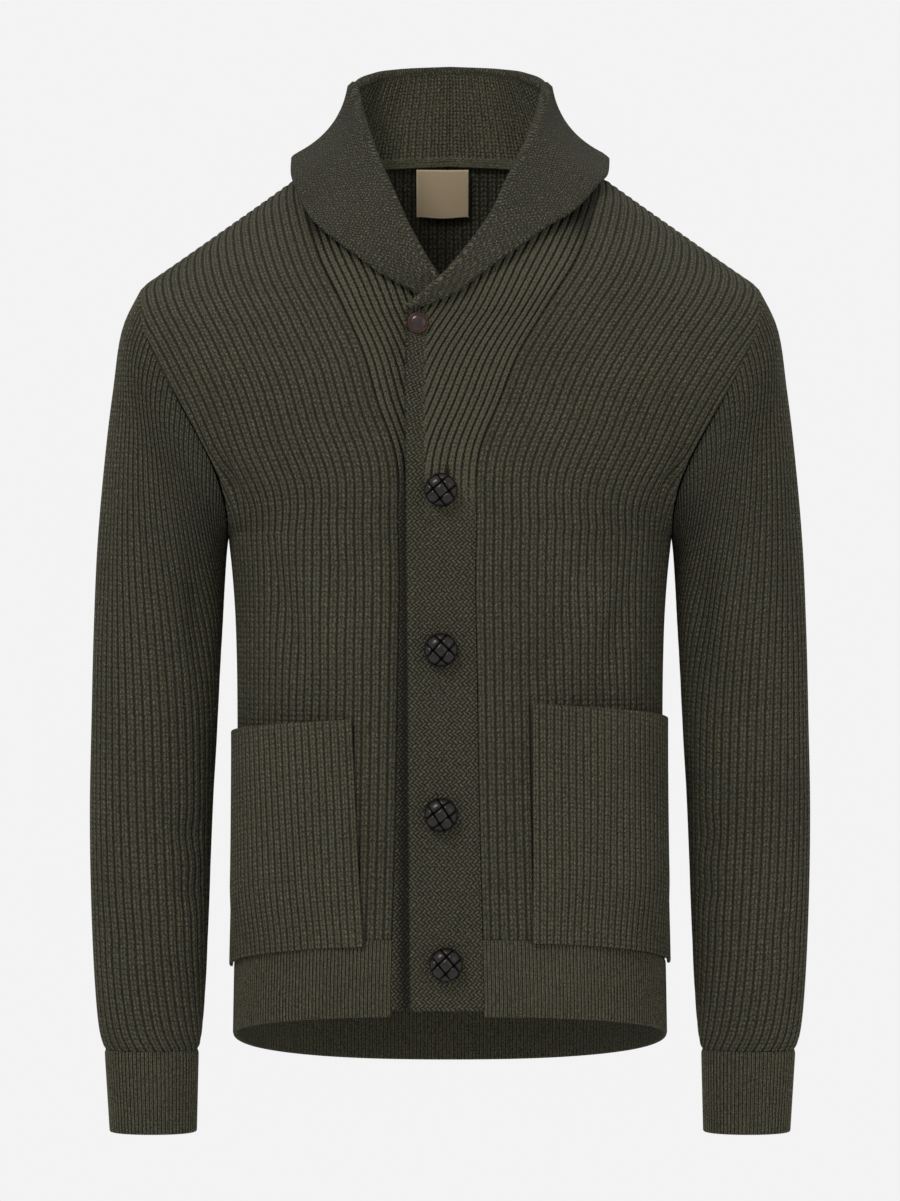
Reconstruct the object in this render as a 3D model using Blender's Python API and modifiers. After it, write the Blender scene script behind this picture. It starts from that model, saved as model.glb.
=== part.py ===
"""Shawl collar cardigan in rib knit, men's medium, filled out as it is worn.

Metres, +Z up. The front faces -Y and +X is the wearer's left. The origin is midway between the
points where the collar meets the shoulders, where the wearer carries the garment. Every cloth
piece is a wall whose outer face is worked out here and whose inner face is that face moved in.
"""
import math

import bmesh
import bpy
import numpy as np

# --------------------------------------------------------------------------- driving dimensions
SEAM_GAP = 0.0003          # between two pieces where they are sewn
RIB_WALL = 0.0030          # rib knit of the body, sleeves, pockets, hem and cuffs
BAND_WALL = 0.0036         # moss stitch of the bands and the collar
TAPE_WALL = 0.0010

ARMPIT = -0.290            # heights
SHOULDER_POINT = -0.010
HEM_SEAM = -0.617
HEM = -0.6745
CUFF_END = -0.7480

CENTRE_SHIFT = 0.019       # the right front starts this much further from the middle than the left
OVERLAP_LIFT = 0.0045      # the left front edge lies this far in front of the right one
BODY_ROUNDNESS = 2.3       # exponent of the torso's rounded sections
SLEEVE_ROUNDNESS = 2.1
FRONT_TILT = 0.20          # the hem rises to the front and falls to the back
BACK_TILT = 0.26
TILT_START = -0.300

ARMHOLE_STEPS = 10         # from the armpit to the shoulder point
BODY_STEPS = 9             # from the hem seam to the armpit
FRONT_COLUMNS = 10
SHOULDER_COLUMNS = 5
RIB_STEPS = 2


def table(columns, *rows):
    """A small table with named columns, sorted on the first one."""
    return np.array(list(rows), dtype=[(name, float) for name in columns.split()])


TORSO = table(
    "height half_width front back",
    (-0.700, 0.1675, 0.1150, 0.1100),
    (-0.617, 0.1660, 0.1160, 0.1100),
    (-0.524, 0.1640, 0.1170, 0.1080),
    (-0.432, 0.1635, 0.1170, 0.1070),
    (-0.386, 0.1640, 0.1180, 0.1080),
    (-0.340, 0.1658, 0.1200, 0.1120),
    (-0.316, 0.1677, 0.1210, 0.1140),
    (-0.290, 0.1705, 0.1220, 0.1160),
    (-0.220, 0.1750, 0.1240, 0.1180),
    (-0.170, 0.1800, 0.1190, 0.1180),
    (-0.120, 0.1800, 0.1080, 0.1140),
    (-0.080, 0.1800, 0.0900, 0.1060),
    (-0.040, 0.1800, 0.0600, 0.0940),
    (0.006, 0.1800, 0.0100, 0.0750),
)

# The seam between the bands and the fronts, up to the armpit's height.
BAND_SEAM = table(
    "height x",
    (-0.660, 0.0255),
    (-0.500, 0.0215),
    (-0.400, 0.0200),
    (-0.310, 0.0190),
    (-0.290, 0.0195),
)

# The neck seam on the wearer's left. A place of 0 is level with the armpit, 1 is the shoulder
# and 2 the middle of the back. The last columns are the way the cloth's edge faces there.
NECK = table(
    "place x y z face_x face_y face_z",
    (0.00, 0.0195, -0.1205, -0.2900, 0.00, -1.00, 0.00),
    (0.23, 0.0230, -0.1230, -0.2255, 0.05, -1.00, 0.05),
    (0.36, 0.0375, -0.1210, -0.1900, 0.10, -1.00, 0.10),
    (0.48, 0.0515, -0.1160, -0.1550, 0.18, -0.95, 0.20),
    (0.60, 0.0710, -0.1040, -0.1220, 0.28, -0.85, 0.30),
    (0.76, 0.0975, -0.0750, -0.0780, 0.45, -0.70, 0.45),
    (0.88, 0.1095, -0.0440, -0.0450, 0.60, -0.50, 0.60),
    (0.94, 0.1140, -0.0220, -0.0250, 0.68, -0.30, 0.68),
    (1.00, 0.1140, 0.0100, -0.0100, 0.70, 0.00, 0.72),
    (1.30, 0.1020, 0.0420, -0.0055, 0.55, 0.45, 0.65),
    (1.60, 0.0640, 0.0640, 0.0020, 0.25, 0.75, 0.55),
    (2.00, 0.0000, 0.0750, 0.0060, 0.00, 0.88, 0.47),
)

# The front edges of the two bands, from the hem to where the collar starts.
LEFT_EDGE = table(
    "height x y",
    (-0.647, -0.0300, -0.1200),
    (-0.500, -0.0315, -0.1215),
    (-0.400, -0.0320, -0.1220),
    (-0.290, -0.0330, -0.1265),
    (-0.2255, -0.0335, -0.1290),
    (-0.190, -0.0340, -0.1300),
    (-0.150, -0.0345, -0.1300),
    (-0.122, -0.0350, -0.1290),
)
RIGHT_EDGE = table(
    "height x y",
    (-0.647, 0.0140, -0.1150),
    (-0.500, 0.0140, -0.1165),
    (-0.400, 0.0140, -0.1170),
    (-0.290, 0.0140, -0.1210),
    (-0.2255, 0.0140, -0.1235),
    (-0.190, 0.0140, -0.1220),
    (-0.150, 0.0145, -0.1190),
    (-0.122, 0.0150, -0.1150),
)

# Sections of the collar. Each starts at a place on the neck seam and rises to the fold; the fall
# then turns down outside it, so many metres wide and with its edge standing so far off.
LEFT_FOLD = table(
    "place x y z width flare",
    (0.60, -0.0350, -0.1290, -0.1225, 0.006, 0.0010),
    (0.63, -0.0204, -0.1245, -0.1090, 0.020, 0.0015),
    (0.66, -0.0038, -0.1165, -0.0930, 0.022, 0.0015),
    (0.70, 0.0120, -0.1010, -0.0735, 0.029, 0.0020),
    (0.76, 0.0295, -0.0780, -0.0480, 0.037, 0.0025),
    (0.84, 0.0425, -0.0520, -0.0190, 0.053, 0.0030),
    (0.91, 0.0540, -0.0300, 0.0050, 0.060, 0.0035),
    (0.96, 0.0625, -0.0080, 0.0270, 0.067, 0.0040),
    (1.03, 0.0690, 0.0160, 0.0485, 0.070, 0.0050),
    (1.25, 0.0700, 0.0400, 0.0635, 0.078, 0.0100),
    (1.42, 0.0610, 0.0620, 0.0720, 0.084, 0.0140),
    (1.68, 0.0400, 0.0760, 0.0770, 0.088, 0.0170),
    (2.00, 0.0000, 0.0820, 0.0795, 0.090, 0.0180),
)
RIGHT_FOLD = table(
    "place x y z width flare",
    (0.60, 0.0150, -0.1150, -0.1225, 0.006, 0.0010),
    (0.63, 0.0020, -0.1110, -0.1090, 0.022, 0.0015),
    (0.66, -0.0110, -0.1060, -0.0910, 0.034, 0.0015),
    (0.70, -0.0210, -0.0940, -0.0740, 0.042, 0.0020),
    (0.76, -0.0320, -0.0760, -0.0520, 0.052, 0.0025),
    (0.84, -0.0430, -0.0540, -0.0260, 0.062, 0.0030),
    (0.91, -0.0540, -0.0300, 0.0000, 0.065, 0.0035),
    (0.96, -0.0625, -0.0080, 0.0250, 0.068, 0.0040),
    (1.03, -0.0690, 0.0160, 0.0485, 0.070, 0.0050),
    (1.25, -0.0700, 0.0400, 0.0635, 0.078, 0.0100),
    (1.42, -0.0610, 0.0620, 0.0720, 0.084, 0.0140),
    (1.68, -0.0400, 0.0760, 0.0770, 0.088, 0.0170),
    (2.00, 0.0000, 0.0820, 0.0795, 0.090, 0.0180),
)
COLLAR_PLACES = (0.6, 0.65, 0.7, 0.8, 0.9, 1.0, 1.15, 1.3, 1.45, 1.6, 1.8, 2.0)
COLLAR_START = 0.6         # the neck seam's place where the bands end and the collar turns over
NECK_PLACES = (1.0, 1.15, 1.3, 1.45, 1.6, 1.8, 2.0)
BAND_TOP_GAP = 0.0025      # the bands stop this much of a place below the collar
FOLD_RADIUS = 0.0012       # of the gap inside the collar's fold
STAND_BULGE = 0.0030
SIDE_HOLLOW = 0.0110       # how far the stand curves in again at the sides of the neck
HOLLOW_PLACE = 1.10
HOLLOW_REACH = 0.22
STAND_STEPS = 4
FALL_STEPS = 5

# Rings of the wearer's left sleeve: the outermost and innermost points, and the ring's half depth.
SLEEVE = table(
    "place outer_x outer_z inner_x inner_z half_depth centre_y",
    (0.00, 0.2360, -0.0980, 0.1710, -0.2900, 0.0780, 0.000),
    (0.06, 0.2515, -0.1300, 0.1714, -0.2970, 0.0740, 0.000),
    (0.13, 0.2595, -0.1800, 0.1722, -0.3080, 0.0690, 0.000),
    (0.22, 0.2665, -0.2400, 0.1735, -0.3300, 0.0630, -0.001),
    (0.31, 0.2715, -0.3000, 0.1748, -0.3560, 0.0580, -0.002),
    (0.40, 0.2740, -0.3600, 0.1768, -0.3920, 0.0530, -0.003),
    (0.51, 0.2757, -0.4300, 0.1792, -0.4420, 0.0485, -0.004),
    (0.62, 0.2770, -0.5000, 0.1825, -0.5020, 0.0450, -0.005),
    (0.73, 0.2760, -0.5700, 0.1850, -0.5700, 0.0420, -0.006),
    (0.84, 0.2730, -0.6350, 0.1878, -0.6350, 0.0390, -0.007),
    (0.93, 0.2695, -0.6700, 0.1905, -0.6700, 0.0350, -0.008),
    (1.00, 0.2655, -0.6845, 0.1930, -0.6845, 0.0310, -0.008),
)
SLEEVE_PLACES = (0.0, 0.06, 0.13, 0.22, 0.31, 0.40, 0.51, 0.62, 0.73, 0.84, 0.93, 1.0)
ARMHOLE_BOW = 0.009        # the seam curves out near the shoulder and in near the armpit
CUFF_INNER_X = 0.1945
CUFF_OUTER_X = 0.2615
CUFF_HALF_DEPTH = 0.0290

# Patch pockets: the inner edge's x at the top and bottom, heights at the side seam, and how much
# higher than its level the inner corner of the mouth sits.
POCKETS = {
    "left": dict(side=1, top_x=0.0600, foot_x=0.0610, top=-0.4330, foot=-0.6190, rise=0.0066),
    "right": dict(side=-1, top_x=0.0720, foot_x=0.0640, top=-0.4430, foot=-0.6216, rise=0.0040),
}
POCKET_FIRST_COLUMN = 3    # the front's first column that lies wholly behind a pocket
POCKET_STEPS = 7
POCKET_ROOM = 0.0110       # the most that a pocket stands off the front
POCKET_EDGE = 0.0008

BUTTON_RADIUS = 0.0128
BUTTON_HEIGHT = 0.0095
BUTTON_BACK = 0.0016
SHANK_RADIUS = 0.0025
SHANK_LENGTH = 0.0020
BUTTONS = table(
    "height x",
    (-0.6117, -0.0030),
    (-0.4999, -0.0067),
    (-0.3769, -0.0067),
    (-0.2576, -0.0067),
)
SNAP_RADIUS = 0.0078
SNAP_HEIGHT = 0.0030
SNAP_X = -0.0240
SNAP_Z = -0.1330

LABEL_LEFT = -0.0262
LABEL_RIGHT = 0.0146
LABEL_TOP = -0.0030
LABEL_FOOT = -0.0395
TAPE_PLACES = (1.48, 1.56, 1.66, 1.80, 2.00)
TAPE_WIDTH = 0.0080
TAPE_CLEARANCE = 0.0016

KNIT_COLOUR = (0.050, 0.047, 0.033, 1.0)
LEATHER_COLOUR = (0.018, 0.012, 0.010, 1.0)
SNAP_COLOUR = (0.100, 0.070, 0.065, 1.0)
LABEL_COLOUR = (0.420, 0.340, 0.220, 1.0)


# ------------------------------------------------------------------------------------- curves
def smooth(source, column, at):
    """Read a column of a table at any value of its first column, without corners."""
    keys = source[source.dtype.names[0]]
    values = source[column]
    slopes = np.gradient(values, keys)
    at = np.clip(at, keys[0], keys[-1])
    i = np.clip(np.searchsorted(keys, at) - 1, 0, len(keys) - 2)
    step = keys[i + 1] - keys[i]
    s = (at - keys[i]) / step
    start = (1 + 2 * s) * (1 - s) ** 2 * values[i] + s * (1 - s) ** 2 * step * slopes[i]
    return start + s * s * (3 - 2 * s) * values[i + 1] + s * s * (s - 1) * step * slopes[i + 1]


def ease(x):
    """0 below 0, 1 above 1, and a soft step between."""
    x = np.clip(x, 0.0, 1.0)
    return x * x * (3 - 2 * x)


def unit(vectors):
    return vectors / np.linalg.norm(vectors, axis=-1, keepdims=True)


def along(curve, fractions):
    """Points at these fractions of a curve's length."""
    steps = np.linalg.norm(np.diff(curve, axis=0), axis=1)
    length = np.concatenate([[0.0], np.cumsum(steps)])
    at = np.asarray(fractions) * length[-1]
    return np.stack([np.interp(at, length, curve[:, k]) for k in range(3)], axis=1)


# ----------------------------------------------------------------------------------- the form
def neck_point(place, side):
    x = smooth(NECK, "x", place)
    y = smooth(NECK, "y", place)
    z = smooth(NECK, "z", place)
    if side < 0:
        x = x + CENTRE_SHIFT * (1 - ease((place - 0.23) / 0.67))
    else:
        y = y - OVERLAP_LIFT * (1 - ease((place - 0.23) / 0.57))
    return np.array([side * x, y, z])


def neck_face(place, side):
    return unit(np.array([side * smooth(NECK, "face_x", place), smooth(NECK, "face_y", place),
                          smooth(NECK, "face_z", place)]))


def sleeve_ring(place, angles, side):
    """A sleeve ring. Angle 0 is outermost, a quarter turn is the front, a half the armpit."""
    outer = np.array([smooth(SLEEVE, "outer_x", place), 0, smooth(SLEEVE, "outer_z", place)])
    inner = np.array([smooth(SLEEVE, "inner_x", place), 0, smooth(SLEEVE, "inner_z", place)])
    power = 2 / SLEEVE_ROUNDNESS
    across = np.sign(np.cos(angles)) * np.abs(np.cos(angles)) ** power
    deep = np.sign(np.sin(angles)) * np.abs(np.sin(angles)) ** power
    ring = (outer + inner) / 2 + across[:, None] * (outer - inner) / 2
    ring[:, 1] = smooth(SLEEVE, "centre_y", place) - deep * smooth(SLEEVE, "half_depth", place)
    bow = ARMHOLE_BOW * (1 - ease(place / 0.15))
    ring[:, 0] += bow * 2.6 * np.sin(angles) ** 2 * np.cos(angles)
    ring[:, 0] *= side
    return ring


def armhole_face(angles, side):
    """The way the cloth's edge faces round the armhole, for the body and the sleeve alike."""
    up = unit(np.array([0.065, 0.0, 0.192]))
    out = np.array([up[2], 0.0, -up[0]])
    face = np.cos(angles)[:, None] * up + 0.2 * out
    face[:, 1] -= np.sin(angles)
    face[:, 0] *= side
    return unit(face)


def hem_tilt(points, level):
    """Lift the front of a level ring and drop its back, more towards the hem."""
    amount = np.clip((TILT_START - level) / (TILT_START - HEM_SEAM), 0, 1)
    tilt = np.where(points[:, 1] < 0, FRONT_TILT, BACK_TILT)
    points[:, 2] = level - amount * tilt * points[:, 1]
    return points


def torso_row(level, side, start_x, depth_name):
    """A level row of the torso, from start_x round to the side seam."""
    half_width = smooth(TORSO, "half_width", level)
    depth = smooth(TORSO, depth_name, level)
    first = math.asin(min(1.0, (start_x / half_width) ** (BODY_ROUNDNESS / 2)))
    angle = np.linspace(first, math.pi / 2, 160)
    power = 2 / BODY_ROUNDNESS
    x = half_width * np.sin(angle) ** power
    y = depth * np.abs(np.cos(angle)) ** power
    if depth_name == "front":
        y = -y
    return hem_tilt(np.stack([side * x, y, np.zeros_like(x)], axis=1), level)


def band_seam_x(level, side):
    return smooth(BAND_SEAM, "x", level) + (CENTRE_SHIFT if side < 0 else 0)


def lift_left_front(row, start_x, amount):
    """The left front lies over the right front's band, and settles back beside it."""
    row[:, 1] -= amount * (1 - ease((np.abs(row[:, 0]) - start_x) / 0.09))
    return row


def front_body_row(level, side):
    start_x = band_seam_x(level, side)
    row = torso_row(level, side, start_x, "front")
    return lift_left_front(row, start_x, OVERLAP_LIFT) if side > 0 else row


def front_chest_row(place, side):
    """A row from the neck seam to the armhole. Its place is 0 at the armpit, 1 at the shoulder."""
    inner = neck_point(place, side)
    angle = math.pi * (1 - place)
    outer = sleeve_ring(0.0, np.array([angle]), side)[0]
    start_x, end_x = abs(inner[0]), abs(outer[0])
    base = start_x * ease(place / 0.35)
    s = np.linspace(0, 1, 160) ** 0.8
    x = start_x + (end_x - start_x) * s
    shape_power = BODY_ROUNDNESS - 1.2 * place
    edge_power = 1 / BODY_ROUNDNESS + (1 - 1 / BODY_ROUNDNESS) * place ** 0.6

    def profile(at_x):
        u = np.clip((at_x - base) / (end_x - base), 0, 1)
        return (1 - u ** shape_power) ** edge_power

    y = outer[1] + (inner[1] - outer[1]) * profile(x) / profile(start_x)
    z = inner[2] + (outer[2] - inner[2]) * s
    straight = inner[1] + (outer[1] - inner[1]) * s
    y += (straight - y) * ease((place - 0.7) / 0.3)
    return np.stack([side * x, y, z], axis=1)


def back_chest_row(place, side):
    """A row of the back from the middle to the armhole; the last one is shoulder and neck seam."""
    angle = -math.pi * (1 - place)
    outer = sleeve_ring(0.0, np.array([angle]), side)[0]
    middle_z = ARMPIT + (smooth(NECK, "z", 2.0) - ARMPIT) * place
    depth = smooth(TORSO, "back", middle_z)
    s = np.linspace(0, 1, 160) ** 0.8
    x = abs(outer[0]) * s
    shape_power = BODY_ROUNDNESS - 0.3 * place
    edge_power = 1 / BODY_ROUNDNESS + (0.8 - 1 / BODY_ROUNDNESS) * place ** 0.6
    y = outer[1] + (depth - outer[1]) * (1 - s ** shape_power) ** edge_power
    drop = middle_z - outer[2]
    z = middle_z - drop * s ** (2.2 - 0.7 * place)
    row = np.stack([side * x, y, z], axis=1)
    top = np.concatenate([np.array([neck_point(p, side) for p in np.linspace(2, 1, 80)]),
                          shoulder_seam(side, np.linspace(0, 1, 80)[1:])])
    fractions = np.linspace(0, 1, 160)
    top = along(top, fractions)
    top = top + (outer - top[-1]) * ease((fractions - 0.4) / 0.6)[:, None]
    blend = ease((place - 0.35) / 0.65) ** 1.4
    return (1 - blend) * along(row, fractions) + blend * top


def shoulder_seam(side, s):
    inner = neck_point(1.0, side)
    outer = sleeve_ring(0.0, np.array([0.0]), side)[0]
    return inner + (outer - inner) * np.asarray(s)[:, None]


def back_fractions():
    """Column places on the back, by length along its top, so that seams share their points."""
    neck = np.array([neck_point(place, 1) for place in NECK_PLACES[::-1]])
    shoulder = shoulder_seam(1, np.linspace(0, 1, SHOULDER_COLUMNS + 1))[1:]
    points = np.concatenate([neck, shoulder])
    steps = np.linalg.norm(np.diff(points, axis=0), axis=1)
    return np.concatenate([[0.0], np.cumsum(steps)]) / steps.sum()


# ------------------------------------------------------------------------------------- cloth
LEVEL = np.array([1.0, 1.0, 0.0])
EDGES = {
    "foot": (np.s_[0, :], np.s_[1, :]),
    "top": (np.s_[-1, :], np.s_[-2, :]),
    "start": (np.s_[:, 0], np.s_[:, 1]),
    "end": (np.s_[:, -1], np.s_[:, -2]),
}


def face_directions(points, closed, flip):
    if closed:
        points = np.concatenate([points[:, -2:-1], points, points[:, 1:2]], axis=1)
    rows = np.gradient(points, axis=0)
    columns = np.gradient(points, axis=1)
    faces = unit(np.cross(columns, rows))
    if closed:
        faces = faces[:, 1:-1]
    return -faces if flip else faces


def draw_in(points, faces, edge):
    """Move a sewn edge back by half the seam gap, square to the seam and to the way it faces."""
    at, inside = EDGES[edge]
    sideways = unit(np.cross(faces[at], np.gradient(points[at], axis=0)))
    if np.sum(sideways * (points[inside] - points[at])) < 0:
        sideways = -sideways
    points[at] += sideways * SEAM_GAP / 2


def cloth(name, points, wall, material, edges=None, flip=False, closed=False, sewn=()):
    """A knitted piece: a flat grid moved to the outer face, then extruded to its inner face.

    edges gives the way an edge faces, shared with the piece that it is sewn to. None there
    keeps the edge's own way, made level.
    """
    points = points.copy()
    faces = face_directions(points, closed, flip)
    for edge, direction in (edges or {}).items():
        at = EDGES[edge][0]
        faces[at] = unit(faces[at] * LEVEL) if direction is None else direction
    for edge in sewn:
        draw_in(points, faces, edge)
    if closed:
        points[:, -1] = points[:, 0]
        faces[:, -1] = faces[:, 0]
    inner = points - wall * faces
    rows, columns = points.shape[:2]
    bm = bmesh.new()
    bmesh.ops.create_grid(bm, x_segments=columns - 1, y_segments=rows - 1, size=0.5)
    cell = bm.verts.layers.int.new("cell")
    for vert in bm.verts:
        column = round((vert.co.x + 0.5) * (columns - 1))
        row = round((vert.co.y + 0.5) * (rows - 1))
        vert[cell] = row * columns + column
        vert.co = points[row, column]
    if closed:
        bmesh.ops.remove_doubles(bm, verts=bm.verts, dist=1e-6)
    wall_side = bmesh.ops.extrude_face_region(bm, geom=bm.faces[:])["geom"]
    for vert in (item for item in wall_side if isinstance(item, bmesh.types.BMVert)):
        vert.co = inner[divmod(vert[cell], columns)]
    bmesh.ops.recalc_face_normals(bm, faces=bm.faces)
    if bm.calc_volume(signed=True) < 0:
        bmesh.ops.reverse_faces(bm, faces=bm.faces)
    mesh = bpy.data.meshes.new(name)
    bm.to_mesh(mesh)
    bm.free()
    return add_object(name, mesh, material)


def add_object(name, mesh, material):
    mesh.materials.append(material)
    mesh.shade_smooth()
    item = bpy.data.objects.new(name, mesh)
    COLLECTION.objects.link(item)
    return item


def finish(name, colour, roughness):
    material = bpy.data.materials.new(name)
    material.use_nodes = True
    shader = material.node_tree.nodes["Principled BSDF"]
    shader.inputs["Base Color"].default_value = colour
    shader.inputs["Roughness"].default_value = roughness
    return material


# ------------------------------------------------------------------------------------- pieces
def body_levels():
    return np.linspace(HEM_SEAM, ARMPIT, BODY_STEPS + 1)


def outer_edge_faces(levels, side, sign):
    """Edge directions up a front's or half a back's outer edge: side seam, then armhole."""
    angles = sign * math.pi * (1 - np.arange(0, ARMHOLE_STEPS + 1) / ARMHOLE_STEPS)
    seam = np.tile([float(side), 0.0, 0.0], (levels, 1))
    return np.concatenate([seam, armhole_face(angles, side)])


def shoulder_face(side):
    slope = shoulder_seam(side, [0, 1])
    run = unit(slope[1] - slope[0])
    return unit(np.array([-run[2] * side, 0.0, run[0] * side]))


def front(side, material):
    name = "front_left" if side > 0 else "front_right"
    spread = np.linspace(0, 1, FRONT_COLUMNS + 1)
    rows = [along(front_body_row(level, side), spread) for level in body_levels()]
    rows += [along(front_chest_row(k / ARMHOLE_STEPS, side), spread)
             for k in range(1, ARMHOLE_STEPS + 1)]
    band = [neck_face(0.0, side)] * BODY_STEPS
    neck = [neck_face(k / ARMHOLE_STEPS, side) for k in range(ARMHOLE_STEPS + 1)]
    edges = {"start": np.array(band + neck), "end": outer_edge_faces(BODY_STEPS, side, 1)}
    top = np.tile(shoulder_face(side), (FRONT_COLUMNS + 1, 1))
    top[0], top[-1] = edges["start"][-1], edges["end"][-1]
    edges["top"] = top
    return cloth(name, np.array(rows), RIB_WALL, material, edges, flip=side < 0,
                 sewn=("foot", "top", "start", "end"))


def back(material):
    fractions = back_fractions()
    rows = []
    for level in body_levels():
        half = along(torso_row(level, 1, 0.0, "back"), fractions)
        rows.append(both_halves(half))
    for k in range(1, ARMHOLE_STEPS + 1):
        half = along(back_chest_row(k / ARMHOLE_STEPS, 1), fractions)
        rows.append(both_halves(half))
    start = outer_edge_faces(BODY_STEPS, -1, -1)
    end = outer_edge_faces(BODY_STEPS, 1, -1)
    half_top = [neck_face(place, 1) for place in NECK_PLACES[::-1]]
    half_top += [shoulder_face(1)] * (SHOULDER_COLUMNS - 1) + [end[-1]]
    top = both_halves(np.array(half_top))
    return cloth("back", np.array(rows), RIB_WALL, material,
                 {"start": start, "end": end, "top": top}, flip=True,
                 sewn=("foot", "top", "start", "end"))


def both_halves(half):
    mirrored = half[::-1] * np.array([-1, 1, 1])
    return np.concatenate([mirrored[:-1], half])


def sleeve(side, material):
    name = "sleeve_left" if side > 0 else "sleeve_right"
    angles = math.pi * (1 - np.arange(0, 2 * ARMHOLE_STEPS + 1) / ARMHOLE_STEPS)
    rings = np.array([sleeve_ring(place, angles, side) for place in SLEEVE_PLACES[::-1]])
    edges = {"top": armhole_face(angles, side), "foot": ring_face(rings[0])}
    return cloth(name, rings, RIB_WALL, material, edges, flip=side < 0, closed=True,
                 sewn=("foot", "top"))


def ring_face(ring):
    """Edge directions of a level ring, straight out from its middle."""
    middle = ring[:-1].mean(axis=0)
    face = ring - middle
    face[:, 2] = 0
    return unit(face)


def cuff(side, material):
    name = "cuff_left" if side > 0 else "cuff_right"
    angles = math.pi * (1 - np.arange(0, 2 * ARMHOLE_STEPS + 1) / ARMHOLE_STEPS)
    top = sleeve_ring(1.0, angles, side)
    middle_x = side * (CUFF_INNER_X + CUFF_OUTER_X) / 2
    foot = top - top[:-1].mean(axis=0)
    foot[:, 0] *= (CUFF_OUTER_X - CUFF_INNER_X) / np.ptp(top[:, 0])
    foot[:, 1] *= 2 * CUFF_HALF_DEPTH / np.ptp(top[:, 1])
    foot += np.array([middle_x, smooth(SLEEVE, "centre_y", 1.0), CUFF_END])
    rings = np.array([foot + (top - foot) * s for s in np.linspace(0, 1, RIB_STEPS + 1)])
    return cloth(name, rings, RIB_WALL, material, {"top": ring_face(top)}, flip=side < 0,
                 closed=True, sewn=("top",))


def hem(part, material):
    """The hem rib under one front or under the back."""
    levels = np.linspace(HEM, HEM_SEAM, RIB_STEPS + 1)
    if part == "back":
        fractions = back_fractions()
        rows = [both_halves(along(torso_row(level, 1, 0.0, "back"), fractions))
                for level in levels]
        start = np.tile([-1.0, 0, 0], (len(levels), 1))
        end = -start
        return cloth("hem_back", np.array(rows), RIB_WALL, material,
                     {"start": start, "end": end}, flip=True, sewn=("top", "start", "end"))
    side = 1 if part == "left" else -1
    spread = np.linspace(0, 1, FRONT_COLUMNS + 1)
    rows = [along(front_body_row(level, side), spread) for level in levels]
    edges = {"start": np.tile([0.0, -1.0, 0.0], (len(levels), 1)),
             "end": np.tile([float(side), 0.0, 0.0], (len(levels), 1))}
    return cloth("hem_" + part, np.array(rows), RIB_WALL, material, edges, flip=side < 0,
                 sewn=("top", "start", "end"))


def band(side, material):
    """A front band, from the hem to the height where the collar starts to turn over."""
    edge = LEFT_EDGE if side > 0 else RIGHT_EDGE
    first = edge["height"][0]
    rows, faces = [], []
    for level in np.linspace(first, ARMPIT, 9):
        at_edge = np.array([smooth(edge, "x", level), smooth(edge, "y", level), level])
        seam = band_seam_point(level, side)
        rows.append(band_row(at_edge, seam))
        faces.append(neck_face(0.0, side))
    steps = round(COLLAR_START * ARMHOLE_STEPS)
    places = [k / ARMHOLE_STEPS for k in range(1, steps)] + [COLLAR_START - BAND_TOP_GAP]
    for place in places:
        height = ARMPIT + (SHOULDER_POINT - ARMPIT) * place
        at_edge = np.array([smooth(edge, "x", height), smooth(edge, "y", height), height])
        rows.append(band_row(at_edge, neck_point(place, side)))
        faces.append(neck_face(place, side))
    name = "band_left" if side > 0 else "band_right"
    return cloth(name, np.array(rows), BAND_WALL, material,
                 {"top": None, "end": np.array(faces)}, flip=side < 0, sewn=("top", "end"))


def band_seam_point(level, side):
    """Where a band's edge at this height meets the front, on the front's own tilted rows."""
    rows = [front_body_row(k, side)[0] for k in np.linspace(HEM, ARMPIT, 40)]
    heights = [row[2] for row in rows]
    return np.array([np.interp(level, heights, [row[k] for row in rows]) for k in range(3)])


def band_row(at_edge, seam):
    s = np.linspace(0, 1, 5)[:, None]
    row = at_edge + (seam - at_edge) * s
    bulge = 0.0005 + 0.05 * max(0.0, abs(seam[0] - at_edge[0]) - 0.06)
    row[:, 1] -= bulge * 4 * s[:, 0] * (1 - s[:, 0])
    return row


def collar_section(source, place, side, around):
    """The inside of the fold, from the neck seam up the stand, over and down the fall."""
    fold = np.array([smooth(source, axis, place) for axis in "xyz"])
    width = smooth(source, "width", place)
    flare = smooth(source, "flare", place)
    seam = neck_point(place, side)
    up = fold - seam
    up = unit(up - around * np.dot(up, around))
    out = np.cross(around, up)
    if np.dot(out[:2], fold[:2] - np.array([0.0, 0.02])) < 0:
        out = -out
    centre = fold - (BAND_WALL + FOLD_RADIUS) * up
    stand_top = centre - FOLD_RADIUS * out
    run = stand_top - seam
    length = np.linalg.norm(run)
    hollow = SIDE_HOLLOW * math.exp(-((place - HOLLOW_PLACE) / HOLLOW_REACH) ** 2)

    def stand(down):
        s = down / length
        bulge = (STAND_BULGE - hollow) * 4 * min(s, 1.0) * (1 - min(s, 1.0))
        return stand_top - run * s + out * bulge

    points = [stand(length * (1 - k / STAND_STEPS)) for k in range(STAND_STEPS + 1)]
    points.append(centre + FOLD_RADIUS * up)
    for k in range(FALL_STEPS + 1):
        s = k / FALL_STEPS
        points.append(stand(width * s) + out * (2 * FOLD_RADIUS + flare * s ** 2))
    return points


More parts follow.
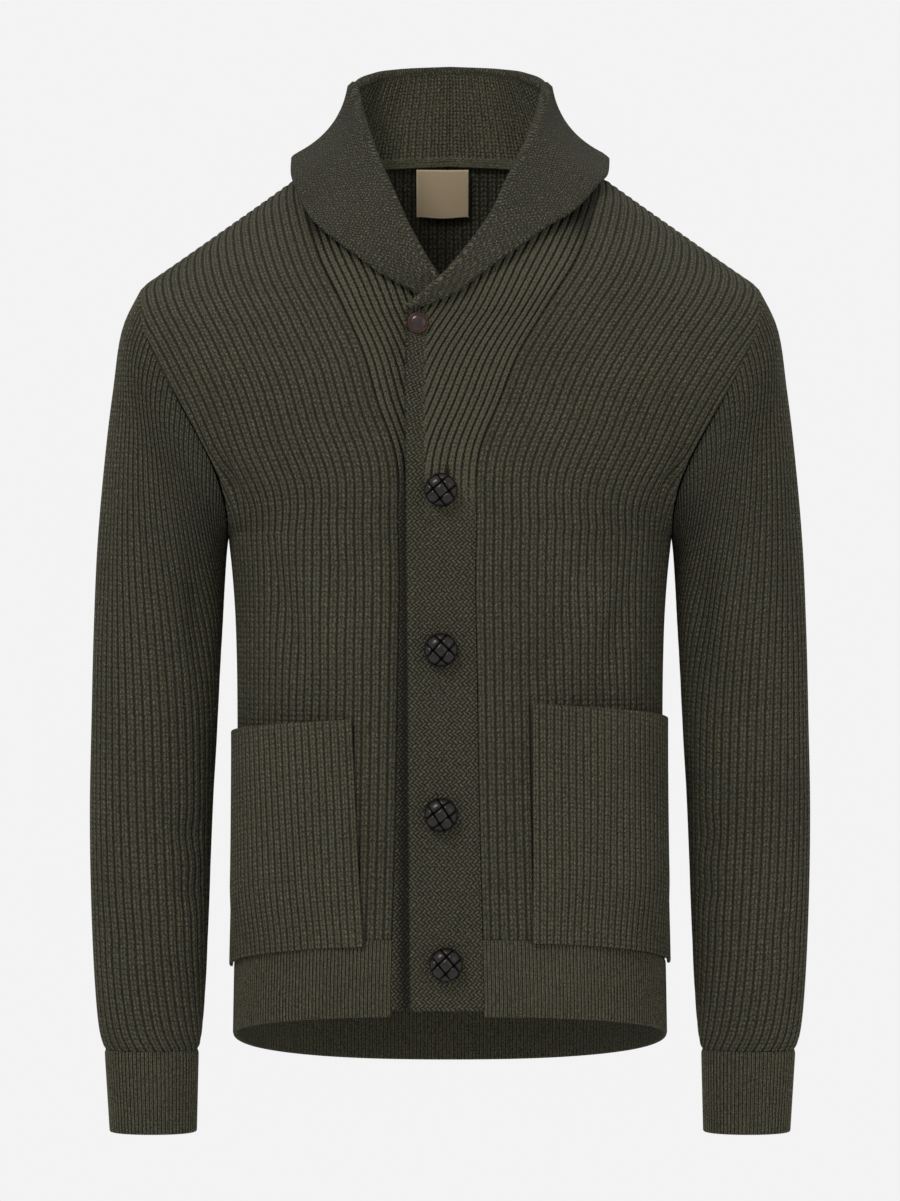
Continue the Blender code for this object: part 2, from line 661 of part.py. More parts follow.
def collar(material):
    stations = [(LEFT_FOLD, place, 1) for place in COLLAR_PLACES]
    stations += [(RIGHT_FOLD, place, -1) for place in COLLAR_PLACES[-2::-1]]
    folds = np.array([[smooth(source, axis, place) for axis in "xyz"]
                      for source, place, _ in stations])
    around = unit(np.gradient(folds, axis=0))
    around[0], around[-1] = (0.0, 0.0, 1.0), (0.0, 0.0, -1.0)
    sections = [collar_section(*station, way) for station, way in zip(stations, around)]
    points = np.array(sections).transpose(1, 0, 2)
    seam = np.array([neck_face(place, side) for _, place, side in stations])
    return cloth("collar", points, BAND_WALL, material,
                 {"start": None, "end": None, "foot": seam}, sewn=("foot", "start", "end"))


def pocket(side_name, material):
    """A patch pocket: the front's own points moved out, most at the mouth and the middle."""
    size = POCKETS[side_name]
    side = size["side"]
    columns = np.arange(POCKET_FIRST_COLUMN, FRONT_COLUMNS + 1) / FRONT_COLUMNS
    rows = []
    for up in np.linspace(0, 1, POCKET_STEPS + 1):
        level = size["foot"] + (size["top"] - size["foot"]) * up
        row = front_body_row(level, side)
        inner_x = size["foot_x"] + (size["top_x"] - size["foot_x"]) * up
        steps = np.linalg.norm(np.diff(row, axis=0), axis=1)
        lengths = np.concatenate([[0.0], np.cumsum(steps)]) / steps.sum()
        start = np.interp(inner_x, np.abs(row[:, 0]), lengths)
        places = np.concatenate([[start], columns])
        points = along(row, places)
        out = np.gradient(points, axis=0) @ np.array([[0, 1, 0], [-1, 0, 0], [0, 0, 0]])
        out = unit(-out) * side
        spread = (places - start) / (1 - start)
        points[:, 2] += size["rise"] * ease(up * 2 - 1) * (1 - spread)
        middle = np.sin(math.pi * np.clip(spread * 1.15, 0, 1)) ** 0.8 * ease(up / 0.35)
        room = POCKET_EDGE + POCKET_ROOM * middle + RIB_WALL
        rows.append(points + out * room[:, None])
    return cloth("pocket_" + side_name, np.array(rows), RIB_WALL, material, flip=side < 0)


def turned(name, profile, material):
    """A closed turned shape on the -Y axis, from its profile of radius and distance forward."""
    curve = bmesh.new()
    verts = [curve.verts.new((radius, 0.0, height)) for radius, height in profile]
    for first, second in zip(verts, verts[1:]):
        curve.edges.new((first, second))
    mesh = bpy.data.meshes.new(name)
    curve.to_mesh(mesh)
    curve.free()
    item = add_object(name, mesh, material)
    screw = item.modifiers.new("turn", "SCREW")
    screw.steps = screw.render_steps = 16
    screw.use_merge_vertices = True
    screw.merge_threshold = 0.00001
    item.rotation_euler = (math.pi / 2, 0.0, 0.0)
    return item


def front_face_y(x, z):
    """How far forward the left band's outer face is, for what is fastened on it."""
    seam = band_seam_point(z, 1) if z < ARMPIT else neck_point((z - ARMPIT) / 0.28, 1)
    at_edge = np.array([smooth(LEFT_EDGE, "x", z), smooth(LEFT_EDGE, "y", z), z])
    row = band_row(at_edge, seam)
    return float(np.interp(x, row[:, 0], row[:, 1]))


def button(number, x, z, material):
    dome = [(BUTTON_RADIUS * math.cos(a), BUTTON_BACK + BUTTON_HEIGHT * math.sin(a))
            for a in np.linspace(math.pi / 2, 0, 7)]
    dome[0] = (0.0, dome[0][1])
    under = [(BUTTON_RADIUS * 0.90, 0.0), (SHANK_RADIUS, 0.0), (SHANK_RADIUS, -SHANK_LENGTH),
             (0.0, -SHANK_LENGTH)]
    item = turned("button_%d" % number, dome + under, material)
    item.location = (x, front_face_y(x, z) - SHANK_LENGTH - 2 * SEAM_GAP, z)
    return item


def snap(material):
    dome = [(SNAP_RADIUS * math.cos(a), SNAP_HEIGHT * (0.35 + 0.65 * math.sin(a)))
            for a in np.linspace(math.pi / 2, 0, 6)]
    dome[0] = (0.0, dome[0][1])
    item = turned("snap", dome + [(SNAP_RADIUS, 0.0), (0.0, 0.0)], material)
    item.location = (SNAP_X, front_face_y(SNAP_X, SNAP_Z) - 4 * SEAM_GAP, SNAP_Z)
    return item


def back_inner(x, z):
    """A point on the inside of the back near the neck."""
    y = np.interp(z, [-0.045, -0.003, 0.006], [0.088, 0.0715, 0.0690])
    sag = 0.010 * (x / 0.06) ** 2
    return np.array([x, y - sag, z])


def neck_label(material):
    rows = [[back_inner(x, z) - np.array([0, 0.0032, 0]) for x in np.linspace(
        LABEL_LEFT, LABEL_RIGHT, 4)] for z in np.linspace(LABEL_FOOT, LABEL_TOP, 5)]
    return cloth("neck_label", np.array(rows), TAPE_WALL, material)


def neck_tape(material):
    """A strip sewn over the neck seam on the inside of the back."""
    half = np.array([neck_point(place, 1) - (BAND_WALL + TAPE_CLEARANCE) * neck_face(place, 1)
                     for place in TAPE_PLACES[::-1]])
    middle = both_halves(half)
    rows = [middle + np.array([0, 0, height]) for height in (-TAPE_WIDTH / 2, TAPE_WIDTH / 2)]
    return cloth("neck_tape", np.array(rows), TAPE_WALL, material, flip=True)


def main():
    knit = finish("knit", KNIT_COLOUR, 0.95)
    leather = finish("leather", LEATHER_COLOUR, 0.45)
    metal = finish("snap_metal", SNAP_COLOUR, 0.35)
    label = finish("label", LABEL_COLOUR, 0.85)
    back(knit)
    for side in (1, -1):
        front(side, knit)
        sleeve(side, knit)
        cuff(side, knit)
        band(side, knit)
    for part in ("back", "left", "right"):
        hem(part, knit)
    for side_name in POCKETS:
        pocket(side_name, knit)
    collar(knit)
    for number, row in enumerate(BUTTONS[::-1], start=1):
        button(number, row["x"], row["height"], leather)
    snap(metal)
    neck_tape(knit)
    neck_label(label)


for old in list(bpy.data.objects):
    bpy.data.objects.remove(old)
COLLECTION = bpy.data.collections.new("shawl_collar_cardigan")
bpy.context.scene.collection.children.link(COLLECTION)
main()
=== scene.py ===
# %% [markdown]
# # A rib-knit shawl collar cardigan
#
# The garment is filled out as if worn, with nobody inside. Its solids are already packed, and this
# lesson dresses them: each knitted piece is built again on the same form, with real ribs, soft
# folds and a yarn finish. The front faces -Y and +X is the wearer's left.

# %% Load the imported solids
import math

import bmesh
import bpy
import numpy as np
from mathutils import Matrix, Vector


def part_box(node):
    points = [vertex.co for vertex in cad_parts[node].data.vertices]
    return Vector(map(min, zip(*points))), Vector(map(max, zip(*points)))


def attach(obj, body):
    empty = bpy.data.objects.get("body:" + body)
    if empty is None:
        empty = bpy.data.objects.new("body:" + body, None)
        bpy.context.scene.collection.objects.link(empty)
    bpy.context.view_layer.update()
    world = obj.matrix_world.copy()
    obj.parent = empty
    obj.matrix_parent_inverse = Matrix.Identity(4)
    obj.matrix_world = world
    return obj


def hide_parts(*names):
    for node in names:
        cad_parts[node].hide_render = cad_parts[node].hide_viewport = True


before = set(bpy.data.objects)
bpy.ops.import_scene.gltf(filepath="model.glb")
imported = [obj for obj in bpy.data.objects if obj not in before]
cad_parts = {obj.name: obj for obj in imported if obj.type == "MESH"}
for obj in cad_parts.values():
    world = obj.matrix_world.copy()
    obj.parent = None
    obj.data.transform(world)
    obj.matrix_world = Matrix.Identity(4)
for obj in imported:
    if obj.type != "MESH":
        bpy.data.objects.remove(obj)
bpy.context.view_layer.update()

# %% [markdown]
# ## Camera and studio
#
# A long lens four metres away flattens a garment very little, which is how clothes are usually
# shown. The light is a pale room with one broad soft lamp above and to the left of the camera, so
# that the ribs keep a lit and a shaded side. A large pale floor lies below the garment.

# %% Camera
camera = bpy.data.objects.new("camera", bpy.data.cameras.new("camera"))
camera.location = (0.0, -4.0, -0.340)
camera.rotation_euler = (math.pi / 2, 0.0, 0.0)
camera.data.sensor_width = 36.0
camera.data.lens = 155.7
bpy.context.scene.collection.objects.link(camera)
bpy.context.scene.camera = camera
bpy.context.scene.view_settings.view_transform = "Standard"
print("camera lens:", camera.data.lens)


# %% Lamps, room and floor
def lamp(name, place, aim, size, power):
    data = bpy.data.lights.new(name, "AREA")
    data.shape = "DISK"
    data.size = size
    data.energy = power
    item = bpy.data.objects.new(name, data)
    bpy.context.scene.collection.objects.link(item)
    item.location = place
    item.rotation_euler = (Vector(aim) - Vector(place)).to_track_quat("-Z", "Y").to_euler()
    return item


MIDDLE = (0.0, 0.0, -0.35)
lamp("key_lamp", (-1.3, -2.4, 1.9), MIDDLE, 1.2, 70.0)
lamp("fill_lamp", (2.2, -2.4, 0.3), MIDDLE, 2.2, 15.0)
lamp("top_lamp", (0.2, 0.6, 2.4), MIDDLE, 1.6, 16.0)

world = bpy.data.worlds.new("pale_room")
world.use_nodes = True
world.node_tree.nodes["Background"].inputs["Color"].default_value = (0.896, 0.896, 0.896, 1.0)
world.node_tree.nodes["Background"].inputs["Strength"].default_value = 1.0
bpy.context.scene.world = world

FLOOR_HEIGHT = -1.0
FLOOR_RADIUS = 1.5
floor_shape = bmesh.new()
bmesh.ops.create_circle(floor_shape, cap_ends=True, segments=96, radius=FLOOR_RADIUS)
bmesh.ops.translate(floor_shape, verts=floor_shape.verts, vec=(0.0, 0.0, FLOOR_HEIGHT))
floor_mesh = bpy.data.meshes.new("floor")
floor_shape.to_mesh(floor_mesh)
floor_shape.free()
floor = bpy.data.objects.new("floor", floor_mesh)
bpy.context.scene.collection.objects.link(floor)
print("lamps and floor placed")

# %% [markdown]
# ## Shader sums
#
# A finish is easier to read as sums than as a web of nodes. One small class wraps a socket and
# turns + - * / into Math nodes, with their reflected forms, and one method adds any other node.


# %% The socket class
class Sum:
    """A socket that can be added up and multiplied in Python."""

    def __init__(self, tree, socket):
        self.tree = tree
        self.socket = socket

    def node(self, kind, settings=None, out=0, **values):
        """Add a node: its settings first, then a value or a link for each socket."""
        made = self.tree.nodes.new(kind)
        for name, value in (settings or {}).items():
            setattr(made, name, value)
        for name, value in values.items():
            socket = made.inputs[int(name[1:]) if name[1:].isdigit() else name.replace("_", " ")]
            if isinstance(value, Sum):
                self.tree.links.new(value.socket, socket)
            else:
                socket.default_value = value
        return Sum(self.tree, made.outputs[out])

    def maths(self, operation, *values):
        sockets = {"s%d" % i: value for i, value in enumerate(values)}
        return self.node("ShaderNodeMath", {"operation": operation}, **sockets)

    def __add__(self, other):
        return self.maths("ADD", self, other)

    def __radd__(self, other):
        return self.maths("ADD", other, self)

    def __sub__(self, other):
        return self.maths("SUBTRACT", self, other)

    def __rsub__(self, other):
        return self.maths("SUBTRACT", other, self)

    def __mul__(self, other):
        return self.maths("MULTIPLY", self, other)

    def __rmul__(self, other):
        return self.maths("MULTIPLY", other, self)

    def __truediv__(self, other):
        return self.maths("DIVIDE", self, other)

    def __pow__(self, other):
        return self.maths("POWER", self, other)

    def fraction(self):
        return self.maths("FRACT", self)

    def floor(self):
        return self.maths("FLOOR", self)

    def size(self):
        return self.maths("ABSOLUTE", self)

    def above(self, other):
        return self.maths("MAXIMUM", self, other)

    def below(self, other):
        return self.maths("MINIMUM", self, other)

    def step(self, low, high):
        """0 below low, 1 above high and a soft step between."""
        settings = {"interpolation_type": "SMOOTHSTEP"}
        return self.node("ShaderNodeMapRange", settings, Value=self, s1=low, s2=high)


def blend(factor, first, second):
    """Mix two colours. first and second are colours or links."""
    settings = {"data_type": "RGBA"}
    return factor.node("ShaderNodeMix", settings, out=2, s0=factor, s6=first, s7=second)


def material_start(name):
    material = bpy.data.materials.new(name)
    material.use_nodes = True
    tree = material.node_tree
    return material, tree, tree.nodes["Principled BSDF"]


def connect(value, socket):
    value.tree.links.new(value.socket, socket)


print("shader sums ready")

# %% [markdown]
# ## Yarn and stitches
#
# The wool is a marl: olive, grey and brown fibres are spun together, so that no two stitches have
# quite the same tone. A rib is a column of V-shaped stitches, each with a left and a right leg, and
# between two ribs the cloth sinks into a dark groove. The grooves are modelled; the stitches are
# too small for that, so they are worked out here from the cloth's own map, which is in metres.

# %% Heights of the stitches
def map_place(tree, name):
    """The two values of a map. "cloth" is across the ribs and along them, "style" is the blends."""
    place = tree.nodes.new("ShaderNodeUVMap")
    place.uv_map = name
    start = Sum(tree, place.outputs["UV"])
    split = start.node("ShaderNodeSeparateXYZ", None, 0, Vector=start).socket.node
    return Sum(tree, split.outputs["X"]), Sum(tree, split.outputs["Y"])


def object_place(tree):
    return Sum(tree, tree.nodes.new("ShaderNodeTexCoord").outputs["Object"])


def noise(place, scale, detail=2.0, roughness=0.5):
    return place.node("ShaderNodeTexNoise", None, 0, Vector=place, Scale=scale, Detail=detail,
                      Roughness=roughness)


def rib_stitches(across, along, pitch, course, notch=0.62):
    """1 on top of a stitch's leg, 0 in the groove between ribs. notch is how deep courses cut."""
    off_middle = ((across / pitch).fraction() - 0.5).size() * 2
    off_leg = off_middle - 0.42
    leg = (1 - off_leg * off_leg * 4.4).above(0.0)
    turn = ((along / course + off_middle * 0.4).fraction() - 0.5).size() * 2
    plump = 1 - turn * turn
    bar = 1 - ((along / course + 0.5).fraction() - 0.5).size() * 2
    groove = off_middle.step(0.72, 0.95)
    return (leg * (1 - notch + notch * plump)) * (1 - groove) + groove * bar * 0.12


def moss_stitches(across, along, width, height, lean):
    """Rows of short slanting bumps, each row leaning the other way from the last."""
    row = (along / height).floor()
    odd = (row * 0.5).fraction() * 2
    beside = (across / width + odd * 0.5).fraction() - 0.5
    above = (along / height).fraction() - 0.5
    leaned = above + beside * ((odd * 2 - 1) * lean)
    return (1 - beside * beside * 3.4 - leaned * leaned * 7.0).above(0.0)


# %% The knit's finish
YARN_SHADE = (0.0050, 0.0046, 0.0024, 1.0)
YARN_OLIVE = (0.1020, 0.0960, 0.0530, 1.0)
YARN_BROWN = (0.1080, 0.0920, 0.0540, 1.0)
YARN_GREY = (0.0960, 0.0995, 0.0740, 1.0)


def knit_finish(name, stitches, relief=0.0018, waver=0.0012, depth=0.90, styled=False,
                shade=1.0, painted_shade=0.0):
    """A marled wool. stitches turns a place on the cloth into the stitches' height, 0 to 1.
    Low places are painted darker by depth, as painted shade in the grooves and between stitches.

    The last argument says how much the second style value darkens the yarn with painted shade,
    or lightens it with painted light if negative.
    """
    material, tree, shader = material_start(name)
    across, along = map_place(tree, "cloth")
    place = object_place(tree)
    drift = noise(place, 330.0)
    drift_2 = noise(place, 270.0, 1.0)
    across = across + (drift - 0.5) * waver
    along = along + (drift_2 - 0.5) * waver
    if styled:
        height = stitches(across, along, *map_place(tree, "style"))
    else:
        height = stitches(across, along)
    fibre = noise(place, 800.0, 3.0, 0.7).step(0.32, 0.68)
    marl = noise(place, 620.0, 2.0, 0.6).step(0.40, 0.62)
    heather = noise(place, 380.0, 2.0, 0.6).step(0.42, 0.64)
    wool = blend(marl, YARN_OLIVE, YARN_GREY)
    wool = blend(heather * 0.75, wool, YARN_BROWN)
    broad = noise(place, 14.0, 1.0)
    # Painted shade: low stitches darken the yarn; fibre and broad add the marl's random tone.
    light = (1 - depth + depth * height) * (0.25 + 0.95 * fibre) * (0.80 + 0.40 * broad) * shade
    # The second style value paints shade, or light where the amount is negative.
    if painted_shade:
        light = light * (1 - map_place(tree, "style")[1] * painted_shade)
    wool = blend(light.below(1.0), YARN_SHADE, wool)
    connect(wool, shader.inputs["Base Color"])
    bump = height.node("ShaderNodeBump", None, 0, Strength=1.0, Distance=relief,
                       Height=height + fibre * 0.25)
    connect(bump, shader.inputs["Normal"])
    shader.inputs["Roughness"].default_value = 0.92
    shader.inputs["Specular IOR Level"].default_value = 0.10
    shader.inputs["Sheen Weight"].default_value = 0.02
    shader.inputs["Sheen Roughness"].default_value = 0.6
    return material


print("marled from", YARN_OLIVE[:3], YARN_GREY[:3], YARN_BROWN[:3])

# %% Gauges of the knit
BODY_PITCH = 0.0068        # from rib to rib
POCKET_PITCH = 0.0057
EDGE_PITCH = 0.00295       # hem and cuffs
STAND_PITCH = 0.0056       # bold ribs of the bands and the stand
INSIDE_PITCH = 0.0063      # inside the back of the collar
TAPE_PITCH = 0.0040
BODY_COURSE = 0.0039       # from one stitch to the next along a rib
POCKET_COURSE = 0.0036
EDGE_COURSE = 0.0027
STAND_COURSE = 0.0034
INSIDE_COURSE = 0.0030
TAPE_COURSE = 0.0020


def body_stitches(u, v):
    return rib_stitches(u, v, BODY_PITCH, BODY_COURSE)


def pocket_stitches(u, v):
    return rib_stitches(u, v, POCKET_PITCH, POCKET_COURSE)


def edge_stitches(u, v):
    return rib_stitches(u, v, EDGE_PITCH, EDGE_COURSE, 0.25)


def tape_stitches(u, v):
    return rib_stitches(v, u, TAPE_PITCH, TAPE_COURSE)


def band_stitches(u, v, bold, shaded):
    """Moss stitch that turns into bold ribs."""
    moss = moss_stitches(u, v, 0.0036, 0.0027, 1.1)
    rib = rib_stitches(u, v, STAND_PITCH, STAND_COURSE)
    return moss * (1 - bold) + rib * bold


def collar_stitches(u, v, stand, inside):
    """Pebbly moss stitch on the fall, and ribs up and down inside the stand."""
    pebbles = moss_stitches(v, u, 0.0030, 0.0026, 0.9)
    rib = rib_stitches(v + INSIDE_PITCH / 2, u, INSIDE_PITCH, INSIDE_COURSE)
    return pebbles * (1 - inside) + rib * inside


print("ribs of", BODY_PITCH, "m on the body and", EDGE_PITCH, "m at the edges")

# %% Knitted finishes
FINISH = {
    "body": knit_finish("body_rib", body_stitches, waver=0.0021, depth=0.85, shade=0.90),
    "pocket": knit_finish("pocket_rib", pocket_stitches, 0.0016, depth=0.86, shade=0.99),
    "edge": knit_finish("edge_rib", edge_stitches, 0.0014, 0.0006, shade=1.12),
    # The band's second style value is painted shadow beside the overlap and along the left band's
    # edge.
    "band": knit_finish("band_knit", band_stitches, 0.0030, 0.0020, depth=0.92, styled=True,
                        shade=2.50, painted_shade=0.85),
    # The collar's second style value is the inside of the stand, lifted with painted light.
    "collar": knit_finish("collar_knit", collar_stitches, 0.0026, 0.0030, depth=0.85,
                          styled=True, shade=1.28, painted_shade=-0.28),
    "tape": knit_finish("tape_knit", tape_stitches, 0.0004, depth=0.35, shade=0.8),
}
print("knit finishes:", len(FINISH))

# %% [markdown]
# ## Sizes of the garment
#
# The knitted pieces lie on the same form as their solids, so the same driving sizes are named
# here. Each table has a row for a section, and smooth() reads it at any place in between.

# %% Tables of the form
ARMPIT = -0.290            # heights
SHOULDER_POINT = -0.010
HEM_SEAM = -0.617
HEM = -0.6745

CENTRE_SHIFT = 0.019       # the right front starts this much further from the middle than the left
OVERLAP_LIFT = 0.0045      # the left front edge lies this far in front of the right one
BODY_ROUNDNESS = 2.3       # exponent of the torso's rounded sections
SLEEVE_ROUNDNESS = 2.1
FRONT_TILT = 0.20          # the hem rises to the front and falls to the back
BACK_TILT = 0.26
TILT_START = -0.300


def table(columns, *rows):
    """A small table with named columns, sorted on the first one."""
    return np.array(list(rows), dtype=[(name, float) for name in columns.split()])


TORSO = table(
    "height half_width front back",
    (-0.700, 0.1675, 0.1150, 0.1100),
    (-0.617, 0.1660, 0.1160, 0.1100),
    (-0.524, 0.1640, 0.1170, 0.1080),
    (-0.432, 0.1635, 0.1170, 0.1070),
    (-0.386, 0.1640, 0.1180, 0.1080),
    (-0.340, 0.1658, 0.1200, 0.1120),
    (-0.316, 0.1677, 0.1210, 0.1140),
    (-0.290, 0.1705, 0.1220, 0.1160),
    (-0.220, 0.1750, 0.1240, 0.1180),
    (-0.170, 0.1800, 0.1190, 0.1180),
    (-0.120, 0.1800, 0.1080, 0.1140),
    (-0.080, 0.1800, 0.0900, 0.1060),
    (-0.040, 0.1800, 0.0600, 0.0940),
    (0.006, 0.1800, 0.0100, 0.0750),
)

# The seam between the bands and the fronts, up to the armpit's height.
BAND_SEAM = table(
    "height x",
    (-0.660, 0.0255),
    (-0.500, 0.0215),
    (-0.400, 0.0200),
    (-0.310, 0.0190),
    (-0.290, 0.0195),
)

# The neck seam on the wearer's left. A place of 0 is level with the armpit, 1 is the shoulder
# and 2 the middle of the back. The last columns are the way the cloth's edge faces there.
NECK = table(
    "place x y z face_x face_y face_z",
    (0.00, 0.0195, -0.1205, -0.2900, 0.00, -1.00, 0.00),
    (0.23, 0.0230, -0.1230, -0.2255, 0.05, -1.00, 0.05),
    (0.36, 0.0375, -0.1210, -0.1900, 0.10, -1.00, 0.10),
    (0.48, 0.0515, -0.1160, -0.1550, 0.18, -0.95, 0.20),
    (0.60, 0.0710, -0.1040, -0.1220, 0.28, -0.85, 0.30),
    (0.76, 0.0975, -0.0750, -0.0780, 0.45, -0.70, 0.45),
    (0.88, 0.1095, -0.0440, -0.0450, 0.60, -0.50, 0.60),
    (0.94, 0.1140, -0.0220, -0.0250, 0.68, -0.30, 0.68),
    (1.00, 0.1140, 0.0100, -0.0100, 0.70, 0.00, 0.72),
    (1.30, 0.1020, 0.0420, -0.0055, 0.55, 0.45, 0.65),
    (1.60, 0.0640, 0.0640, 0.0020, 0.25, 0.75, 0.55),
    (2.00, 0.0000, 0.0750, 0.0060, 0.00, 0.88, 0.47),
)

# Rings of the wearer's left sleeve: the outermost and innermost points, and the ring's half depth.
SLEEVE = table(
    "place outer_x outer_z inner_x inner_z half_depth centre_y",
    (0.00, 0.2360, -0.0980, 0.1710, -0.2900, 0.0780, 0.000),
    (0.06, 0.2515, -0.1300, 0.1714, -0.2970, 0.0740, 0.000),
    (0.13, 0.2595, -0.1800, 0.1722, -0.3080, 0.0690, 0.000),
    (0.22, 0.2665, -0.2400, 0.1735, -0.3300, 0.0630, -0.001),
    (0.31, 0.2715, -0.3000, 0.1748, -0.3560, 0.0580, -0.002),
    (0.40, 0.2740, -0.3600, 0.1768, -0.3920, 0.0530, -0.003),
    (0.51, 0.2757, -0.4300, 0.1792, -0.4420, 0.0485, -0.004),
    (0.62, 0.2770, -0.5000, 0.1825, -0.5020, 0.0450, -0.005),
    (0.73, 0.2760, -0.5700, 0.1850, -0.5700, 0.0420, -0.006),
    (0.84, 0.2730, -0.6350, 0.1878, -0.6350, 0.0390, -0.007),
    (0.93, 0.2695, -0.6700, 0.1905, -0.6700, 0.0350, -0.008),
    (1.00, 0.2655, -0.6845, 0.1930, -0.6845, 0.0310, -0.008),
)
ARMHOLE_BOW = 0.009        # the seam curves out near the shoulder and in near the armpit


print("tables:", len(TORSO), "torso,", len(NECK), "neck,", len(SLEEVE), "sleeve rows")


# %% Curves
def smooth(source, column, at):
    """Read a column of a table at any value of its first column, without corners."""
    keys = source[source.dtype.names[0]]
    values = source[column]
    slopes = np.gradient(values, keys)
    at = np.clip(at, keys[0], keys[-1])
    i = np.clip(np.searchsorted(keys, at) - 1, 0, len(keys) - 2)
    step = keys[i + 1] - keys[i]
    s = (at - keys[i]) / step
    start = (1 + 2 * s) * (1 - s) ** 2 * values[i] + s * (1 - s) ** 2 * step * slopes[i]
    return start + s * s * (3 - 2 * s) * values[i + 1] + s * s * (s - 1) * step * slopes[i + 1]


def ease(x):
    """0 below 0, 1 above 1, and a soft step between."""
    x = np.clip(x, 0.0, 1.0)
    return x * x * (3 - 2 * x)


def unit(vectors):
    return vectors / np.linalg.norm(vectors, axis=-1, keepdims=True)


def along(curve, fractions):
    """Points at these fractions of a curve's length."""
    steps = np.linalg.norm(np.diff(curve, axis=0), axis=1)
    length = np.concatenate([[0.0], np.cumsum(steps)])
    at = np.asarray(fractions) * length[-1]
    return np.stack([np.interp(at, length, curve[:, k]) for k in range(3)], axis=1)


print("half width at the armpit:", round(float(smooth(TORSO, "half_width", ARMPIT)), 4))


# %% Neck and sleeves
def neck_point(place, side):
    x = smooth(NECK, "x", place)
    y = smooth(NECK, "y", place)
    z = smooth(NECK, "z", place)
    if side < 0:
        x = x + CENTRE_SHIFT * (1 - ease((place - 0.23) / 0.67))
    else:
        y = y - OVERLAP_LIFT * (1 - ease((place - 0.23) / 0.57))
    return np.array([side * x, y, z])


def neck_face(place, side):
    return unit(np.array([side * smooth(NECK, "face_x", place), smooth(NECK, "face_y", place),
                          smooth(NECK, "face_z", place)]))


def sleeve_ring(place, angles, side):
    """A sleeve ring. Angle 0 is outermost, a quarter turn is the front, a half the armpit."""
    outer = np.array([smooth(SLEEVE, "outer_x", place), 0, smooth(SLEEVE, "outer_z", place)])
    inner = np.array([smooth(SLEEVE, "inner_x", place), 0, smooth(SLEEVE, "inner_z", place)])
    power = 2 / SLEEVE_ROUNDNESS
    across = np.sign(np.cos(angles)) * np.abs(np.cos(angles)) ** power
    deep = np.sign(np.sin(angles)) * np.abs(np.sin(angles)) ** power
    ring = (outer + inner) / 2 + across[:, None] * (outer - inner) / 2
    ring[:, 1] = smooth(SLEEVE, "centre_y", place) - deep * smooth(SLEEVE, "half_depth", place)
    bow = ARMHOLE_BOW * (1 - ease(place / 0.15))
    ring[:, 0] += bow * 2.6 * np.sin(angles) ** 2 * np.cos(angles)
    ring[:, 0] *= side
    return ring


print("shoulder point", np.round(sleeve_ring(0.0, np.array([0.0]), 1)[0], 4))


# %% Rows of the torso
def hem_tilt(points, level):
    """Lift the front of a level ring and drop its back, more towards the hem."""
    amount = np.clip((TILT_START - level) / (TILT_START - HEM_SEAM), 0, 1)
    tilt = np.where(points[:, 1] < 0, FRONT_TILT, BACK_TILT)
    points[:, 2] = level - amount * tilt * points[:, 1]
    return points


def torso_row(level, side, start_x, depth_name):
    """A level row of the torso, from start_x round to the side seam."""
    half_width = smooth(TORSO, "half_width", level)
    depth = smooth(TORSO, depth_name, level)
    first = math.asin(min(1.0, (start_x / half_width) ** (BODY_ROUNDNESS / 2)))
    angle = np.linspace(first, math.pi / 2, 400)
    power = 2 / BODY_ROUNDNESS
    x = half_width * np.sin(angle) ** power
    y = depth * np.abs(np.cos(angle)) ** power
    if depth_name == "front":
        y = -y
    return hem_tilt(np.stack([side * x, y, np.zeros_like(x)], axis=1), level)


def band_seam_x(level, side):
    return smooth(BAND_SEAM, "x", level) + (CENTRE_SHIFT if side < 0 else 0)


def lift_left_front(row, start_x, amount):
    """The left front lies over the right front's band, and settles back beside it."""
    row[:, 1] -= amount * (1 - ease((np.abs(row[:, 0]) - start_x) / 0.09))
    return row


def front_body_row(level, side):
    start_x = band_seam_x(level, side)
    row = torso_row(level, side, start_x, "front")
    return lift_left_front(row, start_x, OVERLAP_LIFT) if side > 0 else row


print("the left front starts at", np.round(front_body_row(ARMPIT, 1)[0], 4))


# %% Rows of the chest
def front_chest_row(place, side):
    """A row from the neck seam to the armhole. Its place is 0 at the armpit, 1 at the shoulder."""
    inner = neck_point(place, side)
    angle = math.pi * (1 - place)
    outer = sleeve_ring(0.0, np.array([angle]), side)[0]
    start_x, end_x = abs(inner[0]), abs(outer[0])
    base = start_x * ease(place / 0.35)
    s = np.linspace(0, 1, 160) ** 0.8
    x = start_x + (end_x - start_x) * s
    shape_power = BODY_ROUNDNESS - 1.2 * place
    edge_power = 1 / BODY_ROUNDNESS + (1 - 1 / BODY_ROUNDNESS) * place ** 0.6

    def profile(at_x):
        u = np.clip((at_x - base) / (end_x - base), 0, 1)
        return (1 - u ** shape_power) ** edge_power

    y = outer[1] + (inner[1] - outer[1]) * profile(x) / profile(start_x)
    z = inner[2] + (outer[2] - inner[2]) * s
    straight = inner[1] + (outer[1] - inner[1]) * s
    y += (straight - y) * ease((place - 0.7) / 0.3)
    return np.stack([side * x, y, z], axis=1)


def shoulder_seam(side, s):
    inner = neck_point(1.0, side)
    outer = sleeve_ring(0.0, np.array([0.0]), side)[0]
    return inner + (outer - inner) * np.asarray(s)[:, None]


